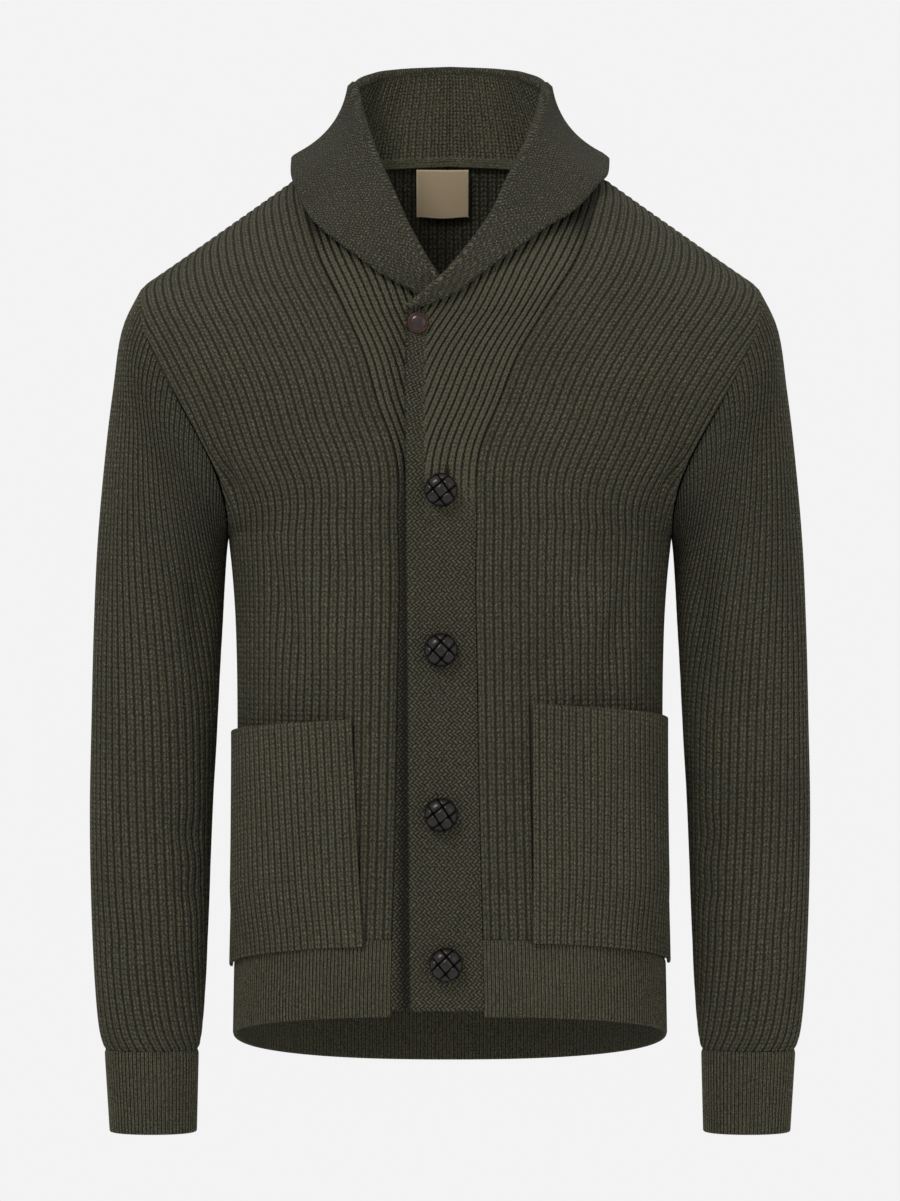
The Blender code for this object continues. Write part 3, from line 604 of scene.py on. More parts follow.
def back_chest_row(place, side):
    """A row of the back from the middle to the armhole; the last one is shoulder and neck seam."""
    angle = -math.pi * (1 - place)
    outer = sleeve_ring(0.0, np.array([angle]), side)[0]
    middle_z = ARMPIT + (smooth(NECK, "z", 2.0) - ARMPIT) * place
    depth = smooth(TORSO, "back", middle_z)
    s = np.linspace(0, 1, 160) ** 0.8
    x = abs(outer[0]) * s
    shape_power = BODY_ROUNDNESS - 0.3 * place
    edge_power = 1 / BODY_ROUNDNESS + (0.8 - 1 / BODY_ROUNDNESS) * place ** 0.6
    y = outer[1] + (depth - outer[1]) * (1 - s ** shape_power) ** edge_power
    drop = middle_z - outer[2]
    z = middle_z - drop * s ** (2.2 - 0.7 * place)
    row = np.stack([side * x, y, z], axis=1)
    top = np.concatenate([np.array([neck_point(p, side) for p in np.linspace(2, 1, 80)]),
                          shoulder_seam(side, np.linspace(0, 1, 80)[1:])])
    fractions = np.linspace(0, 1, 160)
    top = along(top, fractions)
    top = top + (outer - top[-1]) * ease((fractions - 0.4) / 0.6)[:, None]
    blend = ease((place - 0.35) / 0.65) ** 1.4
    return (1 - blend) * along(row, fractions) + blend * top


print("middle of the back neck:", np.round(neck_point(2.0, 1), 4))

# %% [markdown]
# ## Knitting a piece
#
# Each piece starts as a flat grid, as cloth does. Its columns are spaced a sixth of a rib apart and
# counted from one edge, so that a rib stays whole until it is cut off at a seam. The grid is moved
# onto the form, its ribs and folds are pressed in, and it is extruded to its inner face, which
# makes a thin closed wall. Points that were cut off at a seam lie on one spot and are merged.

# %% Spacing of rows and columns
EDGE_STEPS = np.array([0.0, 0.0004, 0.0010, 0.0018, 0.0028])
NO_STEPS = np.array([0.0])


def rib_columns(length, step, count, lead=EDGE_STEPS, tail=EDGE_STEPS):
    """Distances from the first edge: whole steps, with close ones near both edges."""
    core = np.arange(count) * step
    core = core[core > lead[-1] + step / 4]
    end = length - tail[::-1]
    core = np.minimum(core, end[0])
    core[end[0] - core < step / 4] = end[0]
    return np.concatenate([lead, core, end])


def spread_rows(length, step, low=EDGE_STEPS, high=EDGE_STEPS):
    """Shares of a length, evenly spaced but close together near its ends."""
    top = length - high[::-1]
    middle = np.linspace(low[-1], top[0], max(3, round((top[0] - low[-1]) / step) + 1))
    return np.concatenate([low[:-1], middle, top[1:]]) / length


def lengths_of(curve):
    return np.concatenate([[0.0], np.cumsum(np.linalg.norm(np.diff(curve, axis=0), axis=1))])


def lay(curves, columns):
    """Points at set distances along each row's curve, and the way the row runs there."""
    points, ways = [], []
    for curve, places in zip(curves, columns):
        length = lengths_of(curve)
        way = np.gradient(curve, axis=0)
        points.append(np.stack([np.interp(places, length, curve[:, k]) for k in range(3)], 1))
        ways.append(np.stack([np.interp(places, length, way[:, k]) for k in range(3)], 1))
    return np.array(points), unit(np.array(ways))


def climb(points, first=0):
    """Distance up each column, 0 at one row."""
    up = np.linalg.norm(np.diff(points, axis=0), axis=2)
    up = np.concatenate([np.zeros((1, up.shape[1])), np.cumsum(up, axis=0)])
    return up - up[first:first + 1]


print("seam edges have", len(EDGE_STEPS), "close columns")

# %% Ribs, folds and edges
RIB_WALL = 0.0030          # rib knit of the body, sleeves, pockets, hem and cuffs
RIB_DEPTH = 0.0013
SEAM_SINK = 0.0009
SEAM_REACH = 0.0017
THINNEST = 0.12            # share of the wall left at a rounded edge
SHARP_FROM = 1.1           # faces that meet at a sharper angle keep a crisp edge


def ribs(across, pitch, depth=RIB_DEPTH):
    """How far the outer face sinks between ribs. Grooves are at whole numbers of pitches."""
    off_middle = np.abs((across / pitch) % 1.0 - 0.5) * 2
    return -depth * off_middle ** 2.4


def folds(points, creases):
    """Soft troughs and ridges: a middle, a direction, half length, half width and depth."""
    moved = np.zeros(points.shape[:2])
    for middle, direction, reach, width, depth in creases:
        way = unit(np.array(direction, dtype=float))
        offset = points - np.array(middle)
        run = offset @ way
        beside = np.linalg.norm(offset - run[..., None] * way, axis=-1)
        moved -= depth * np.exp(-(beside / width) ** 2) * np.exp(-(run / reach) ** 2)
    return moved


def edge_distances(points):
    """How far each point is from the foot, top, start and end of its piece."""
    up = climb(points)
    right = climb(points.transpose(1, 0, 2)).T
    return {"foot": up, "top": up[-1:] - up, "start": right, "end": right[:, -1:] - right}


def smoothed(values, times, closed):
    """Average directions with their neighbours, a few times."""
    for _ in range(times):
        wide = np.pad(values, ((1, 1), (1, 1), (0, 0)), mode="edge")
        if closed:
            wide[:, 0] = wide[:, -3]
            wide[:, -1] = wide[:, 2]
        values = unit(wide[1:-1, :-2] + wide[1:-1, 2:] + wide[:-2, 1:-1] + wide[2:, 1:-1]
                      + 2 * wide[1:-1, 1:-1])
    return values


def faces_of(points, ways, sign, closed=False):
    return sign * smoothed(unit(np.cross(ways, np.gradient(points, axis=0))), 3, closed)


print("rib of", BODY_PITCH * 1000, "mm, groove of", RIB_DEPTH * 1000, "mm")


# %% Making one piece
made = {}


def knit(name, points, faces, cloth_map, wall, edges, sink=0.0, inner_sink=0.0, **more):
    """Press ribs and folds into a piece, treat its edges and give it a wall.

    edges says which edges are "free", so that they are rounded, or "sewn", so that they sink
    into a seam. A positive sink lifts the outer face.
    """
    outer = np.zeros(points.shape[:2]) + sink
    inner = np.zeros(points.shape[:2]) - wall + inner_sink
    away = edge_distances(points)
    half = wall / 2
    for edge, way in edges.items():
        near = away[edge]
        if way == "sewn":
            outer = outer - SEAM_SINK * np.exp(-(near / SEAM_REACH) ** 2)
            continue
        bend = 1 - np.sqrt(1 - (1 - np.clip(near / half, 0, 1)) ** 2)
        bend = bend * (1 - THINNEST)
        outer = outer - half * bend
        inner = inner + half * bend
    return wall_of(name, points + faces * outer[..., None], points + faces * inner[..., None],
                   cloth_map, **more)


def wall_of(name, outer, inner, cloth_map, finishes=("body",), style=None, slot="knit"):
    """A grid on the outer face, extruded to the inner face, which may have its own finish."""
    rows, columns = outer.shape[:2]
    shape = bmesh.new()
    bmesh.ops.create_grid(shape, x_segments=columns - 1, y_segments=rows - 1, size=0.5)
    cell = shape.verts.layers.int.new("cell")
    cloth = shape.loops.layers.uv.new("cloth")
    for vert in shape.verts:
        column = round((vert.co.x + 0.5) * (columns - 1))
        row = round((vert.co.y + 0.5) * (rows - 1))
        vert[cell] = row * columns + column
        vert.co = outer[row, column]
    flat_map = cloth_map.reshape(-1, 2)
    for face in shape.faces:
        for loop in face.loops:
            loop[cloth].uv = flat_map[loop.vert[cell]]
    if style is not None:
        styled = shape.loops.layers.uv.new("style")
        flat_style = style.reshape(-1, 2)
        for face in shape.faces:
            for loop in face.loops:
                loop[styled].uv = flat_style[loop.vert[cell]]
    bmesh.ops.remove_doubles(shape, verts=shape.verts, dist=1e-6)
    turned = bmesh.ops.extrude_face_region(shape, geom=shape.faces[:])["geom"]
    flat_inner = inner.reshape(-1, 3)
    for vert in (item for item in turned if isinstance(item, bmesh.types.BMVert)):
        vert.co = flat_inner[vert[cell]]
    if len(finishes) > 1:
        for face in (item for item in turned if isinstance(item, bmesh.types.BMFace)):
            face.material_index = 1
    bmesh.ops.recalc_face_normals(shape, faces=shape.faces)
    if shape.calc_volume(signed=True) < 0:
        bmesh.ops.reverse_faces(shape, faces=shape.faces)
    for edge in shape.edges:
        edge.smooth = edge.calc_face_angle(0.0) < SHARP_FROM
    mesh = bpy.data.meshes.new(name)
    shape.to_mesh(mesh)
    shape.free()
    for finish in finishes:
        mesh.materials.append(FINISH[finish])
    for polygon in mesh.polygons:
        polygon.use_smooth = True
    return place_piece(name, mesh)


def place_piece(name, mesh, stands_for=True):
    item = bpy.data.objects.new(name + "_looks", mesh)
    bpy.context.scene.collection.objects.link(item)
    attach(item, "root")
    if stands_for:
        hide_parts(name)
    made[name] = sum(len(face.vertices) - 2 for face in mesh.polygons)
    print(name, "triangles:", made[name])
    return item


print("ready to knit")

# %% [markdown]
# ## The back
#
# The back is one knitted panel. Its ribs are counted from the middle, run straight up and are cut
# off by the armholes and the neck. It carries a few shallow folds that run in from the armholes,
# where the cloth is pulled by the sleeves, and two that settle above the hem.

# %% Rows and columns of the body
STEP = BODY_PITCH / 6
ROW_STEP = 0.0070
CHEST_LENGTH = 0.28


def body_rows(body_row, chest_row):
    """Fine rows of a body panel, from the hem seam to the shoulder, and the armpit's row number."""
    levels = HEM_SEAM + (ARMPIT - HEM_SEAM) * spread_rows(ARMPIT - HEM_SEAM, ROW_STEP,
                                                          high=NO_STEPS)
    places = spread_rows(CHEST_LENGTH, ROW_STEP, low=NO_STEPS)[1:]
    rows = [body_row(level) for level in levels] + [chest_row(place) for place in places]
    return rows, len(levels) - 1


def half_columns(rows, step):
    """Columns from a middle line outwards, as many as the longest row needs."""
    lengths = [lengths_of(row)[-1] for row in rows]
    count = int(max(lengths) / step) + 1
    return [rib_columns(length, step, count, lead=NO_STEPS) for length in lengths]


def mirrored(half, sign):
    """A half and its mirror image joined at the middle line."""
    return np.concatenate([half[:, :0:-1] * sign, half], axis=1)


print("columns", round(STEP * 1000, 2), "mm apart, rows", ROW_STEP * 1000, "mm")

# %% Back
# A fold's row is its middle, its direction, half its length, half its width and its depth.
BACK_FOLDS = [
    ((0.130, 0.075, -0.300), (0.75, 0.0, 0.66), 0.060, 0.016, 0.0040),
    ((0.118, 0.085, -0.345), (0.80, 0.0, 0.50), 0.050, 0.014, 0.0028),
    ((-0.135, 0.072, -0.310), (-0.70, 0.0, 0.70), 0.055, 0.017, 0.0038),
    ((-0.112, 0.088, -0.362), (-0.86, 0.0, 0.42), 0.046, 0.013, 0.0024),
    ((0.030, 0.108, -0.520), (1.0, 0.0, 0.10), 0.090, 0.020, 0.0030),
    ((-0.060, 0.106, -0.565), (1.0, 0.0, -0.12), 0.070, 0.016, 0.0026),
    ((0.070, 0.100, -0.450), (0.25, 0.0, 1.0), 0.090, 0.024, 0.0030),
    ((-0.082, 0.100, -0.430), (-0.20, 0.0, 1.0), 0.100, 0.026, 0.0028),
    ((0.020, 0.112, -0.180), (0.20, 0.0, 1.0), 0.080, 0.030, 0.0026),
]
SEWN = {"foot": "sewn", "top": "sewn", "start": "sewn", "end": "sewn"}


def back_panel():
    rows, armpit = body_rows(lambda level: torso_row(level, 1, 0.0, "back"),
                             lambda place: back_chest_row(place, 1))
    columns = half_columns(rows, STEP)
    half, half_ways = lay(rows, columns)
    points = mirrored(half, np.array([-1, 1, 1]))
    ways = mirrored(half_ways, np.array([1, -1, -1]))
    across = mirrored(np.array(columns), -1) + BODY_PITCH / 2
    pressed = folds(points, BACK_FOLDS)
    return knit("back", points, faces_of(points, ways, -1),
                np.stack([across, climb(points, armpit)], axis=-1), RIB_WALL, SEWN,
                ribs(across, BODY_PITCH) + pressed,
                pressed + ribs(across + BODY_PITCH / 2, BODY_PITCH) * -0.4)


back = back_panel()

# %% [markdown]
# ## The fronts
#
# A front's ribs are counted from the seam along its band and lean out with it above the armpit, as
# on a panel whose neck edge is slanted. They are cut off by the armhole. Each front has soft
# creases where the sleeve pulls at the armhole and above and beside its pocket.

# %% Fronts
OVERLAP_TROUGH = ((-0.037, -0.119, -0.470), (-0.01, 0.0, 1.0), 0.260, 0.0085, 0.0052)
LEFT_FOLDS = [
    ((0.166, -0.075, -0.262), (0.10, 0.0, 1.0), 0.060, 0.0065, 0.0060),
    ((0.146, -0.090, -0.322), (0.34, 0.0, 0.94), 0.070, 0.012, 0.0058),
    ((0.122, -0.106, -0.325), (0.42, 0.0, 0.90), 0.070, 0.013, -0.0030),
    ((0.096, -0.115, -0.335), (0.50, 0.0, 0.86), 0.070, 0.015, 0.0034),
    ((0.080, -0.118, -0.395), (1.0, 0.0, 0.22), 0.060, 0.015, 0.0022),
    ((0.040, -0.122, -0.560), (0.15, 0.0, 1.0), 0.120, 0.010, 0.0020),
]
RIGHT_FOLDS = [
    ((-0.166, -0.075, -0.256), (-0.12, 0.0, 1.0), 0.062, 0.0070, 0.0062),
    ((-0.143, -0.091, -0.316), (-0.40, 0.0, 0.92), 0.072, 0.012, 0.0056),
    ((-0.120, -0.106, -0.310), (-0.46, 0.0, 0.88), 0.064, 0.013, -0.0028),
    ((-0.094, -0.116, -0.300), (-0.52, 0.0, 0.85), 0.060, 0.014, 0.0026),
    ((-0.095, -0.118, -0.402), (1.0, 0.0, -0.20), 0.055, 0.014, 0.0024),
    ((-0.054, -0.120, -0.545), (-0.10, 0.0, 1.0), 0.110, 0.011, 0.0018),
    OVERLAP_TROUGH,
]


def front_panel(side):
    rows, armpit = body_rows(lambda level: front_body_row(level, side),
                             lambda place: front_chest_row(place, side))
    lengths = [lengths_of(row)[-1] for row in rows]
    count = int(max(lengths) / STEP) + 1
    columns = [rib_columns(length, STEP, count) for length in lengths]
    points, ways = lay(rows, columns)
    across = np.array(columns)
    pressed = folds(points, LEFT_FOLDS if side > 0 else RIGHT_FOLDS)
    return knit("front_left" if side > 0 else "front_right", points,
                faces_of(points, ways, side),
                np.stack([across * side, climb(points, armpit)], axis=-1), RIB_WALL, SEWN,
                ribs(across, BODY_PITCH) + pressed, pressed)


for side in (1, -1):
    front_panel(side)

# %% [markdown]
# ## The sleeves
#
# A sleeve's ribs run along its outer edge and are cut off in pairs at the underarm seam, because it
# narrows to the wrist. It has a deep crease under the armhole, small waves round the elbow and a
# soft bulge above the cuff, where the cloth rests on it.

# %% Sleeves
SLEEVE_LENGTH = 0.59
HALF_RING = np.linspace(0, math.pi, 240)
LEFT_WAVES = [
    ((0.198, -0.045, -0.325), (0.20, 0.0, 1.0), 0.070, 0.012, 0.0060),
    ((0.192, -0.040, -0.520), (1.0, 0.0, 0.35), 0.028, 0.012, 0.0040),
    ((0.190, -0.038, -0.560), (1.0, 0.0, -0.25), 0.024, 0.010, 0.0030),
    ((0.262, -0.035, -0.300), (0.10, 0.0, 1.0), 0.090, 0.016, 0.0024),
    ((0.232, -0.045, -0.600), (1.0, 0.0, 0.30), 0.040, 0.014, 0.0024),
    ((0.232, 0.045, -0.480), (1.0, 0.0, 0.60), 0.040, 0.014, 0.0042),
    ((0.238, 0.040, -0.530), (1.0, 0.0, 0.50), 0.036, 0.013, 0.0036),
    ((0.225, 0.055, -0.330), (0.50, 0.0, 1.0), 0.060, 0.016, 0.0040),
    ((0.250, 0.030, -0.610), (1.0, 0.0, -0.20), 0.030, 0.012, 0.0028),
]


def sleeve_panel(side):
    places = 1 - spread_rows(SLEEVE_LENGTH, ROW_STEP)
    fronts = [sleeve_ring(place, HALF_RING, side) for place in places]
    rears = [sleeve_ring(place, -HALF_RING, side) for place in places]
    longest = max(lengths_of(half)[-1] for half in fronts + rears)
    count = int(longest / STEP) + 1
    parts = []
    for curves in (fronts, rears):
        columns = [rib_columns(lengths_of(curve)[-1], STEP, count, NO_STEPS, NO_STEPS)
                   for curve in curves]
        parts.append(lay(curves, columns) + (np.array(columns),))
    points = np.concatenate([parts[0][0][:, :0:-1], parts[1][0]], axis=1)
    ways = np.concatenate([-parts[0][1][:, :0:-1], parts[1][1]], axis=1)
    across = np.concatenate([-parts[0][2][:, :0:-1], parts[1][2]], axis=1) + BODY_PITCH / 2
    waves = [((x * side, y, z), (dx * side, dy, dz), *rest)
             for (x, y, z), (dx, dy, dz), *rest in LEFT_WAVES]
    pressed = folds(points, waves)
    return knit("sleeve_left" if side > 0 else "sleeve_right", points,
                faces_of(points, ways, side, True),
                np.stack([across, climb(points)], axis=-1), RIB_WALL,
                {"foot": "sewn", "top": "sewn"}, ribs(across, BODY_PITCH) + pressed, pressed)


for side in (1, -1):
    sleeve_panel(side)

# %% [markdown]
# ## Hem and cuffs
#
# The hem and cuffs are a finer rib, which hugs the body and the wrists.

# %% Hem
EDGE_DEPTH = 0.0011
EDGE_STEP = EDGE_PITCH / 4
HEM_ROWS = HEM + (HEM_SEAM - HEM) * spread_rows(HEM_SEAM - HEM, 0.0055)
HEM_EDGES = {"foot": "free", "top": "sewn", "start": "sewn", "end": "sewn"}


def hem_panel(name, side, first_row):
    rows = [first_row(level) for level in HEM_ROWS]
    if name == "hem_back":
        columns = half_columns(rows, EDGE_STEP)
        half, half_ways = lay(rows, columns)
        points = mirrored(half, np.array([-1, 1, 1]))
        ways = mirrored(half_ways, np.array([1, -1, -1]))
        across = mirrored(np.array(columns), -1)
    else:
        count = int(max(lengths_of(row)[-1] for row in rows) / EDGE_STEP) + 1
        columns = [rib_columns(lengths_of(row)[-1], EDGE_STEP, count) for row in rows]
        points, ways = lay(rows, columns)
        across = np.array(columns)
    return knit(name, points, faces_of(points, ways, side),
                np.stack([across, climb(points)], axis=-1), RIB_WALL, HEM_EDGES,
                ribs(across, EDGE_PITCH, EDGE_DEPTH), finishes=("edge",))


hem_panel("hem_back", -1, lambda level: torso_row(level, 1, 0.0, "back"))
for name, side in (("hem_left", 1), ("hem_right", -1)):
    hem_panel(name, side, lambda level: front_body_row(level, side))

# %% Cuffs
CUFF_END = -0.7480
CUFF_LENGTH = 0.064
CUFF_INNER_X = 0.1945
CUFF_OUTER_X = 0.2615
CUFF_HALF_DEPTH = 0.0290


def cuff_rows(side):
    """Rings from the cuff's edge up to the sleeve, split at the underarm."""
    middle_x = side * (CUFF_INNER_X + CUFF_OUTER_X) / 2
    angles = np.concatenate([HALF_RING[::-1], -HALF_RING[1:]])
    top = sleeve_ring(1.0, angles, side)
    foot = top - (top.max(axis=0) + top.min(axis=0)) / 2
    foot[:, 0] *= (CUFF_OUTER_X - CUFF_INNER_X) / np.ptp(top[:, 0])
    foot[:, 1] *= 2 * CUFF_HALF_DEPTH / np.ptp(top[:, 1])
    foot += np.array([middle_x, smooth(SLEEVE, "centre_y", 1.0), CUFF_END])
    return [foot + (top - foot) * s for s in spread_rows(CUFF_LENGTH, 0.0055)]


def cuff_panel(side):
    rows = cuff_rows(side)
    count = round(lengths_of(rows[0])[-1] / EDGE_PITCH) * 4 + 1
    columns = [np.linspace(0, lengths_of(row)[-1], count) for row in rows]
    points, ways = lay(rows, columns)
    across = np.tile(np.arange(count) * EDGE_STEP, (len(rows), 1))
    return knit("cuff_left" if side > 0 else "cuff_right", points,
                faces_of(points, ways, side, True),
                np.stack([across, climb(points)], axis=-1), RIB_WALL,
                {"foot": "free", "top": "sewn"}, ribs(across, EDGE_PITCH, EDGE_DEPTH),
                finishes=("edge",))


for side in (1, -1):
    cuff_panel(side)

# %% [markdown]
# ## The bands
#
# A band is moss stitch below. Towards the top it turns into bold ribs that follow the neck seam,
# and only a border of moss stitch stays along its free edge.

# %% Tables of the bands and the collar
BAND_WALL = 0.0036         # moss stitch

# The front edges of the two bands, from the hem to where the collar starts.
LEFT_EDGE = table(
    "height x y",
    (-0.647, -0.0300, -0.1200),
    (-0.500, -0.0315, -0.1215),
    (-0.400, -0.0320, -0.1220),
    (-0.290, -0.0330, -0.1265),
    (-0.2255, -0.0335, -0.1290),
    (-0.190, -0.0340, -0.1300),
    (-0.150, -0.0345, -0.1300),
    (-0.122, -0.0350, -0.1290),
)
RIGHT_EDGE = table(
    "height x y",
    (-0.647, 0.0140, -0.1150),
    (-0.500, 0.0140, -0.1165),
    (-0.400, 0.0140, -0.1170),
    (-0.290, 0.0140, -0.1210),
    (-0.2255, 0.0140, -0.1235),
    (-0.190, 0.0140, -0.1220),
    (-0.150, 0.0145, -0.1190),
    (-0.122, 0.0150, -0.1150),
)

# Sections of the collar. Each starts at a place on the neck seam and rises to the fold; the fall
# then turns down outside it, so many metres wide and with its edge standing so far off.
LEFT_FOLD = table(
    "place x y z width flare",
    (0.60, -0.0350, -0.1290, -0.1225, 0.006, 0.0010),
    (0.63, -0.0204, -0.1245, -0.1090, 0.020, 0.0015),
    (0.66, -0.0038, -0.1165, -0.0930, 0.022, 0.0015),
    (0.70, 0.0120, -0.1010, -0.0735, 0.029, 0.0020),
    (0.76, 0.0295, -0.0780, -0.0480, 0.037, 0.0025),
    (0.84, 0.0425, -0.0520, -0.0190, 0.053, 0.0030),
    (0.91, 0.0540, -0.0300, 0.0050, 0.060, 0.0035),
    (0.96, 0.0625, -0.0080, 0.0270, 0.067, 0.0040),
    (1.03, 0.0690, 0.0160, 0.0485, 0.070, 0.0050),
    (1.25, 0.0700, 0.0400, 0.0635, 0.078, 0.0100),
    (1.42, 0.0610, 0.0620, 0.0720, 0.084, 0.0140),
    (1.68, 0.0400, 0.0760, 0.0770, 0.088, 0.0170),
    (2.00, 0.0000, 0.0820, 0.0795, 0.090, 0.0180),
)
RIGHT_FOLD = table(
    "place x y z width flare",
    (0.60, 0.0150, -0.1150, -0.1225, 0.006, 0.0010),
    (0.63, 0.0020, -0.1110, -0.1090, 0.022, 0.0015),
    (0.66, -0.0110, -0.1060, -0.0910, 0.034, 0.0015),
    (0.70, -0.0210, -0.0940, -0.0740, 0.042, 0.0020),
    (0.76, -0.0320, -0.0760, -0.0520, 0.052, 0.0025),
    (0.84, -0.0430, -0.0540, -0.0260, 0.062, 0.0030),
    (0.91, -0.0540, -0.0300, 0.0000, 0.065, 0.0035),
    (0.96, -0.0625, -0.0080, 0.0250, 0.068, 0.0040),
    (1.03, -0.0690, 0.0160, 0.0485, 0.070, 0.0050),
    (1.25, -0.0700, 0.0400, 0.0635, 0.078, 0.0100),
    (1.42, -0.0610, 0.0620, 0.0720, 0.084, 0.0140),
    (1.68, -0.0400, 0.0760, 0.0770, 0.088, 0.0170),
    (2.00, 0.0000, 0.0820, 0.0795, 0.090, 0.0180),
)
COLLAR_PLACES = (0.6, 0.65, 0.7, 0.8, 0.9, 1.0, 1.15, 1.3, 1.45, 1.6, 1.8, 2.0)
COLLAR_START = 0.6         # the neck seam's place where the bands end and the collar turns over
FOLD_RADIUS = 0.0012       # of the gap inside the collar's fold
STAND_BULGE = 0.0030
SIDE_HOLLOW = 0.0110       # how far the stand curves in again at the sides of the neck
HOLLOW_PLACE = 1.10
HOLLOW_REACH = 0.22
print("collar sections:", len(LEFT_FOLD), "left and", len(RIGHT_FOLD), "right")


# %% Section of the collar
def collar_curve(source, place, side, around):
    """The collar's section from the neck seam, up the stand, over the fold and down the fall."""
    fold = np.array([smooth(source, axis, place) for axis in "xyz"])
    width = smooth(source, "width", place)
    flare = smooth(source, "flare", place)
    seam = neck_point(place, side)
    up = fold - seam
    up = unit(up - around * np.dot(up, around))
    out = np.cross(around, up)
    if np.dot(out[:2], fold[:2] - np.array([0.0, 0.02])) < 0:
        out = -out
    centre = fold - (BAND_WALL + FOLD_RADIUS) * up
    stand_top = centre - FOLD_RADIUS * out
    run = stand_top - seam
    length = np.linalg.norm(run)
    hollow = SIDE_HOLLOW * math.exp(-((place - HOLLOW_PLACE) / HOLLOW_REACH) ** 2)

    def stand(down):
        s = down / length
        bulge = (STAND_BULGE - hollow) * 4 * np.minimum(s, 1.0) * (1 - np.minimum(s, 1.0))
        return stand_top - run * s[:, None] + out * bulge[:, None]

    stand_part = stand(np.linspace(length, 0, 40))
    turn = np.linspace(0, math.pi, 9)[1:-1, None]
    turn_part = centre - FOLD_RADIUS * (np.cos(turn) * out - np.sin(turn) * up)
    s = np.linspace(0, 1, 40)
    fall_part = stand(width * s) + (2 * FOLD_RADIUS + flare * s ** 2)[:, None] * out
    return stand_part, turn_part, fall_part


print("stand at the middle of the back:",
      round(lengths_of(collar_curve(LEFT_FOLD, 2.0, 1, np.array([-1.0, 0.0, 0.0]))[0])[-1], 4))

# %% Bands
STAND_DEPTH = 0.0027
STAND_STEP = STAND_PITCH / 5
BOLD_FROM = -0.285         # the bold ribs fade in between these heights
BOLD_TO = -0.235
BORDER = 0.0130            # moss stitch left along the free edge
JOIN_FROM = 0.35           # a band takes on the collar's section above this place
TOP_LENGTH = 0.168         # of a band, from the armpit's height to the collar
OVERLAP_EDGE = 0.0335      # the left band's edge casts a painted shadow on the right one here


def band_seam_point(level, side):
    """Where a band's edge at this height meets the front, on the front's own tilted rows."""
    rows = [front_body_row(k, side)[0] for k in np.linspace(HEM, ARMPIT, 40)]
    heights = [row[2] for row in rows]
    return np.array([np.interp(level, heights, [row[k] for row in rows]) for k in range(3)])


def band_points(side):
    """A band's rows from the hem to the collar, each from the seam to the free edge."""
    edge = LEFT_EDGE if side > 0 else RIGHT_EDGE
    first = edge["height"][0]
    rows = []
    s = np.linspace(0, 1, 120)
    levels = first + (ARMPIT - first) * spread_rows(ARMPIT - first, 0.0050, high=NO_STEPS)
    places = COLLAR_START * spread_rows(TOP_LENGTH, 0.0050, low=NO_STEPS, high=NO_STEPS)[1:]
    ends = [(level, band_seam_point(level, side), 0.0) for level in levels]
    ends += [(ARMPIT + (SHOULDER_POINT - ARMPIT) * place, neck_point(place, side), place)
             for place in places]
    source = LEFT_FOLD if side > 0 else RIGHT_FOLD
    stand_part, turn_part, _ = collar_curve(source, COLLAR_START, side, np.array([0, 0, side]))
    outline = np.concatenate([stand_part, turn_part[:4]])
    joined = along(outline, s)
    last = None
    for height, seam, place in ends[::-1]:
        at_edge = np.array([smooth(edge, "x", height), smooth(edge, "y", height), height])
        row = seam + (at_edge - seam) * s[:, None]
        bulge = 0.0005 + 0.05 * max(0.0, abs(seam[0] - at_edge[0]) - 0.06)
        row[:, 1] -= bulge * 4 * s * (1 - s)
        if last is None:
            last = joined - row
        rows.append(row + last * ease((place - JOIN_FROM) / (COLLAR_START - JOIN_FROM)))
    return rows[::-1]


def band_panel(side):
    rows = band_points(side)
    lengths = [lengths_of(row)[-1] for row in rows]
    count = int(max(lengths) / STAND_STEP) + 1
    columns = [rib_columns(length, STAND_STEP, count) for length in lengths]
    points, ways = lay(rows, columns)
    across = np.array(columns)
    bold = ease((points[..., 2] - BOLD_FROM) / (BOLD_TO - BOLD_FROM))
    from_free = np.array(lengths)[:, None] - across
    bold = bold * ease((from_free - BORDER) / 0.004)
    if side > 0:
        pressed = 0.0012 * np.exp(-((from_free - 0.004) / 0.006) ** 2)
        # Painted shade along the left band's free edge.
        shaded = 0.9 * np.exp(-(from_free / 0.0012) ** 2)
    else:
        pressed = folds(points, [OVERLAP_TROUGH])
        # Painted shadow that the left band's edge casts on the right band.
        beside = np.abs(points[..., 0] + OVERLAP_EDGE) / 0.0070
        shaded = np.exp(-beside ** 2) * (1 - ease((points[..., 2] + 0.26) / 0.10))
    return knit("band_left" if side > 0 else "band_right", points,
                faces_of(points, ways, -side),
                np.stack([across, climb(points)], axis=-1), BAND_WALL,
                {"start": "sewn", "end": "free", "foot": "free"},
                ribs(across, STAND_PITCH, STAND_DEPTH) * bold + pressed, pressed,
                finishes=("band",),
                style=np.stack([bold, shaded], axis=-1))


for side in (1, -1):
    band_panel(side)

# %% [markdown]
# ## The collar
#
# The collar is one strip. It rises from the neck seam as a stand, rolls over and falls outwards,
# widest behind the neck. Its stand is ribbed, up and down inside the neck and along the seam
# outside, and its fall is a dense pebbly moss stitch.

# %% Collar
RIBBED_FROM = 0.72
RIBBED_TO = 0.86


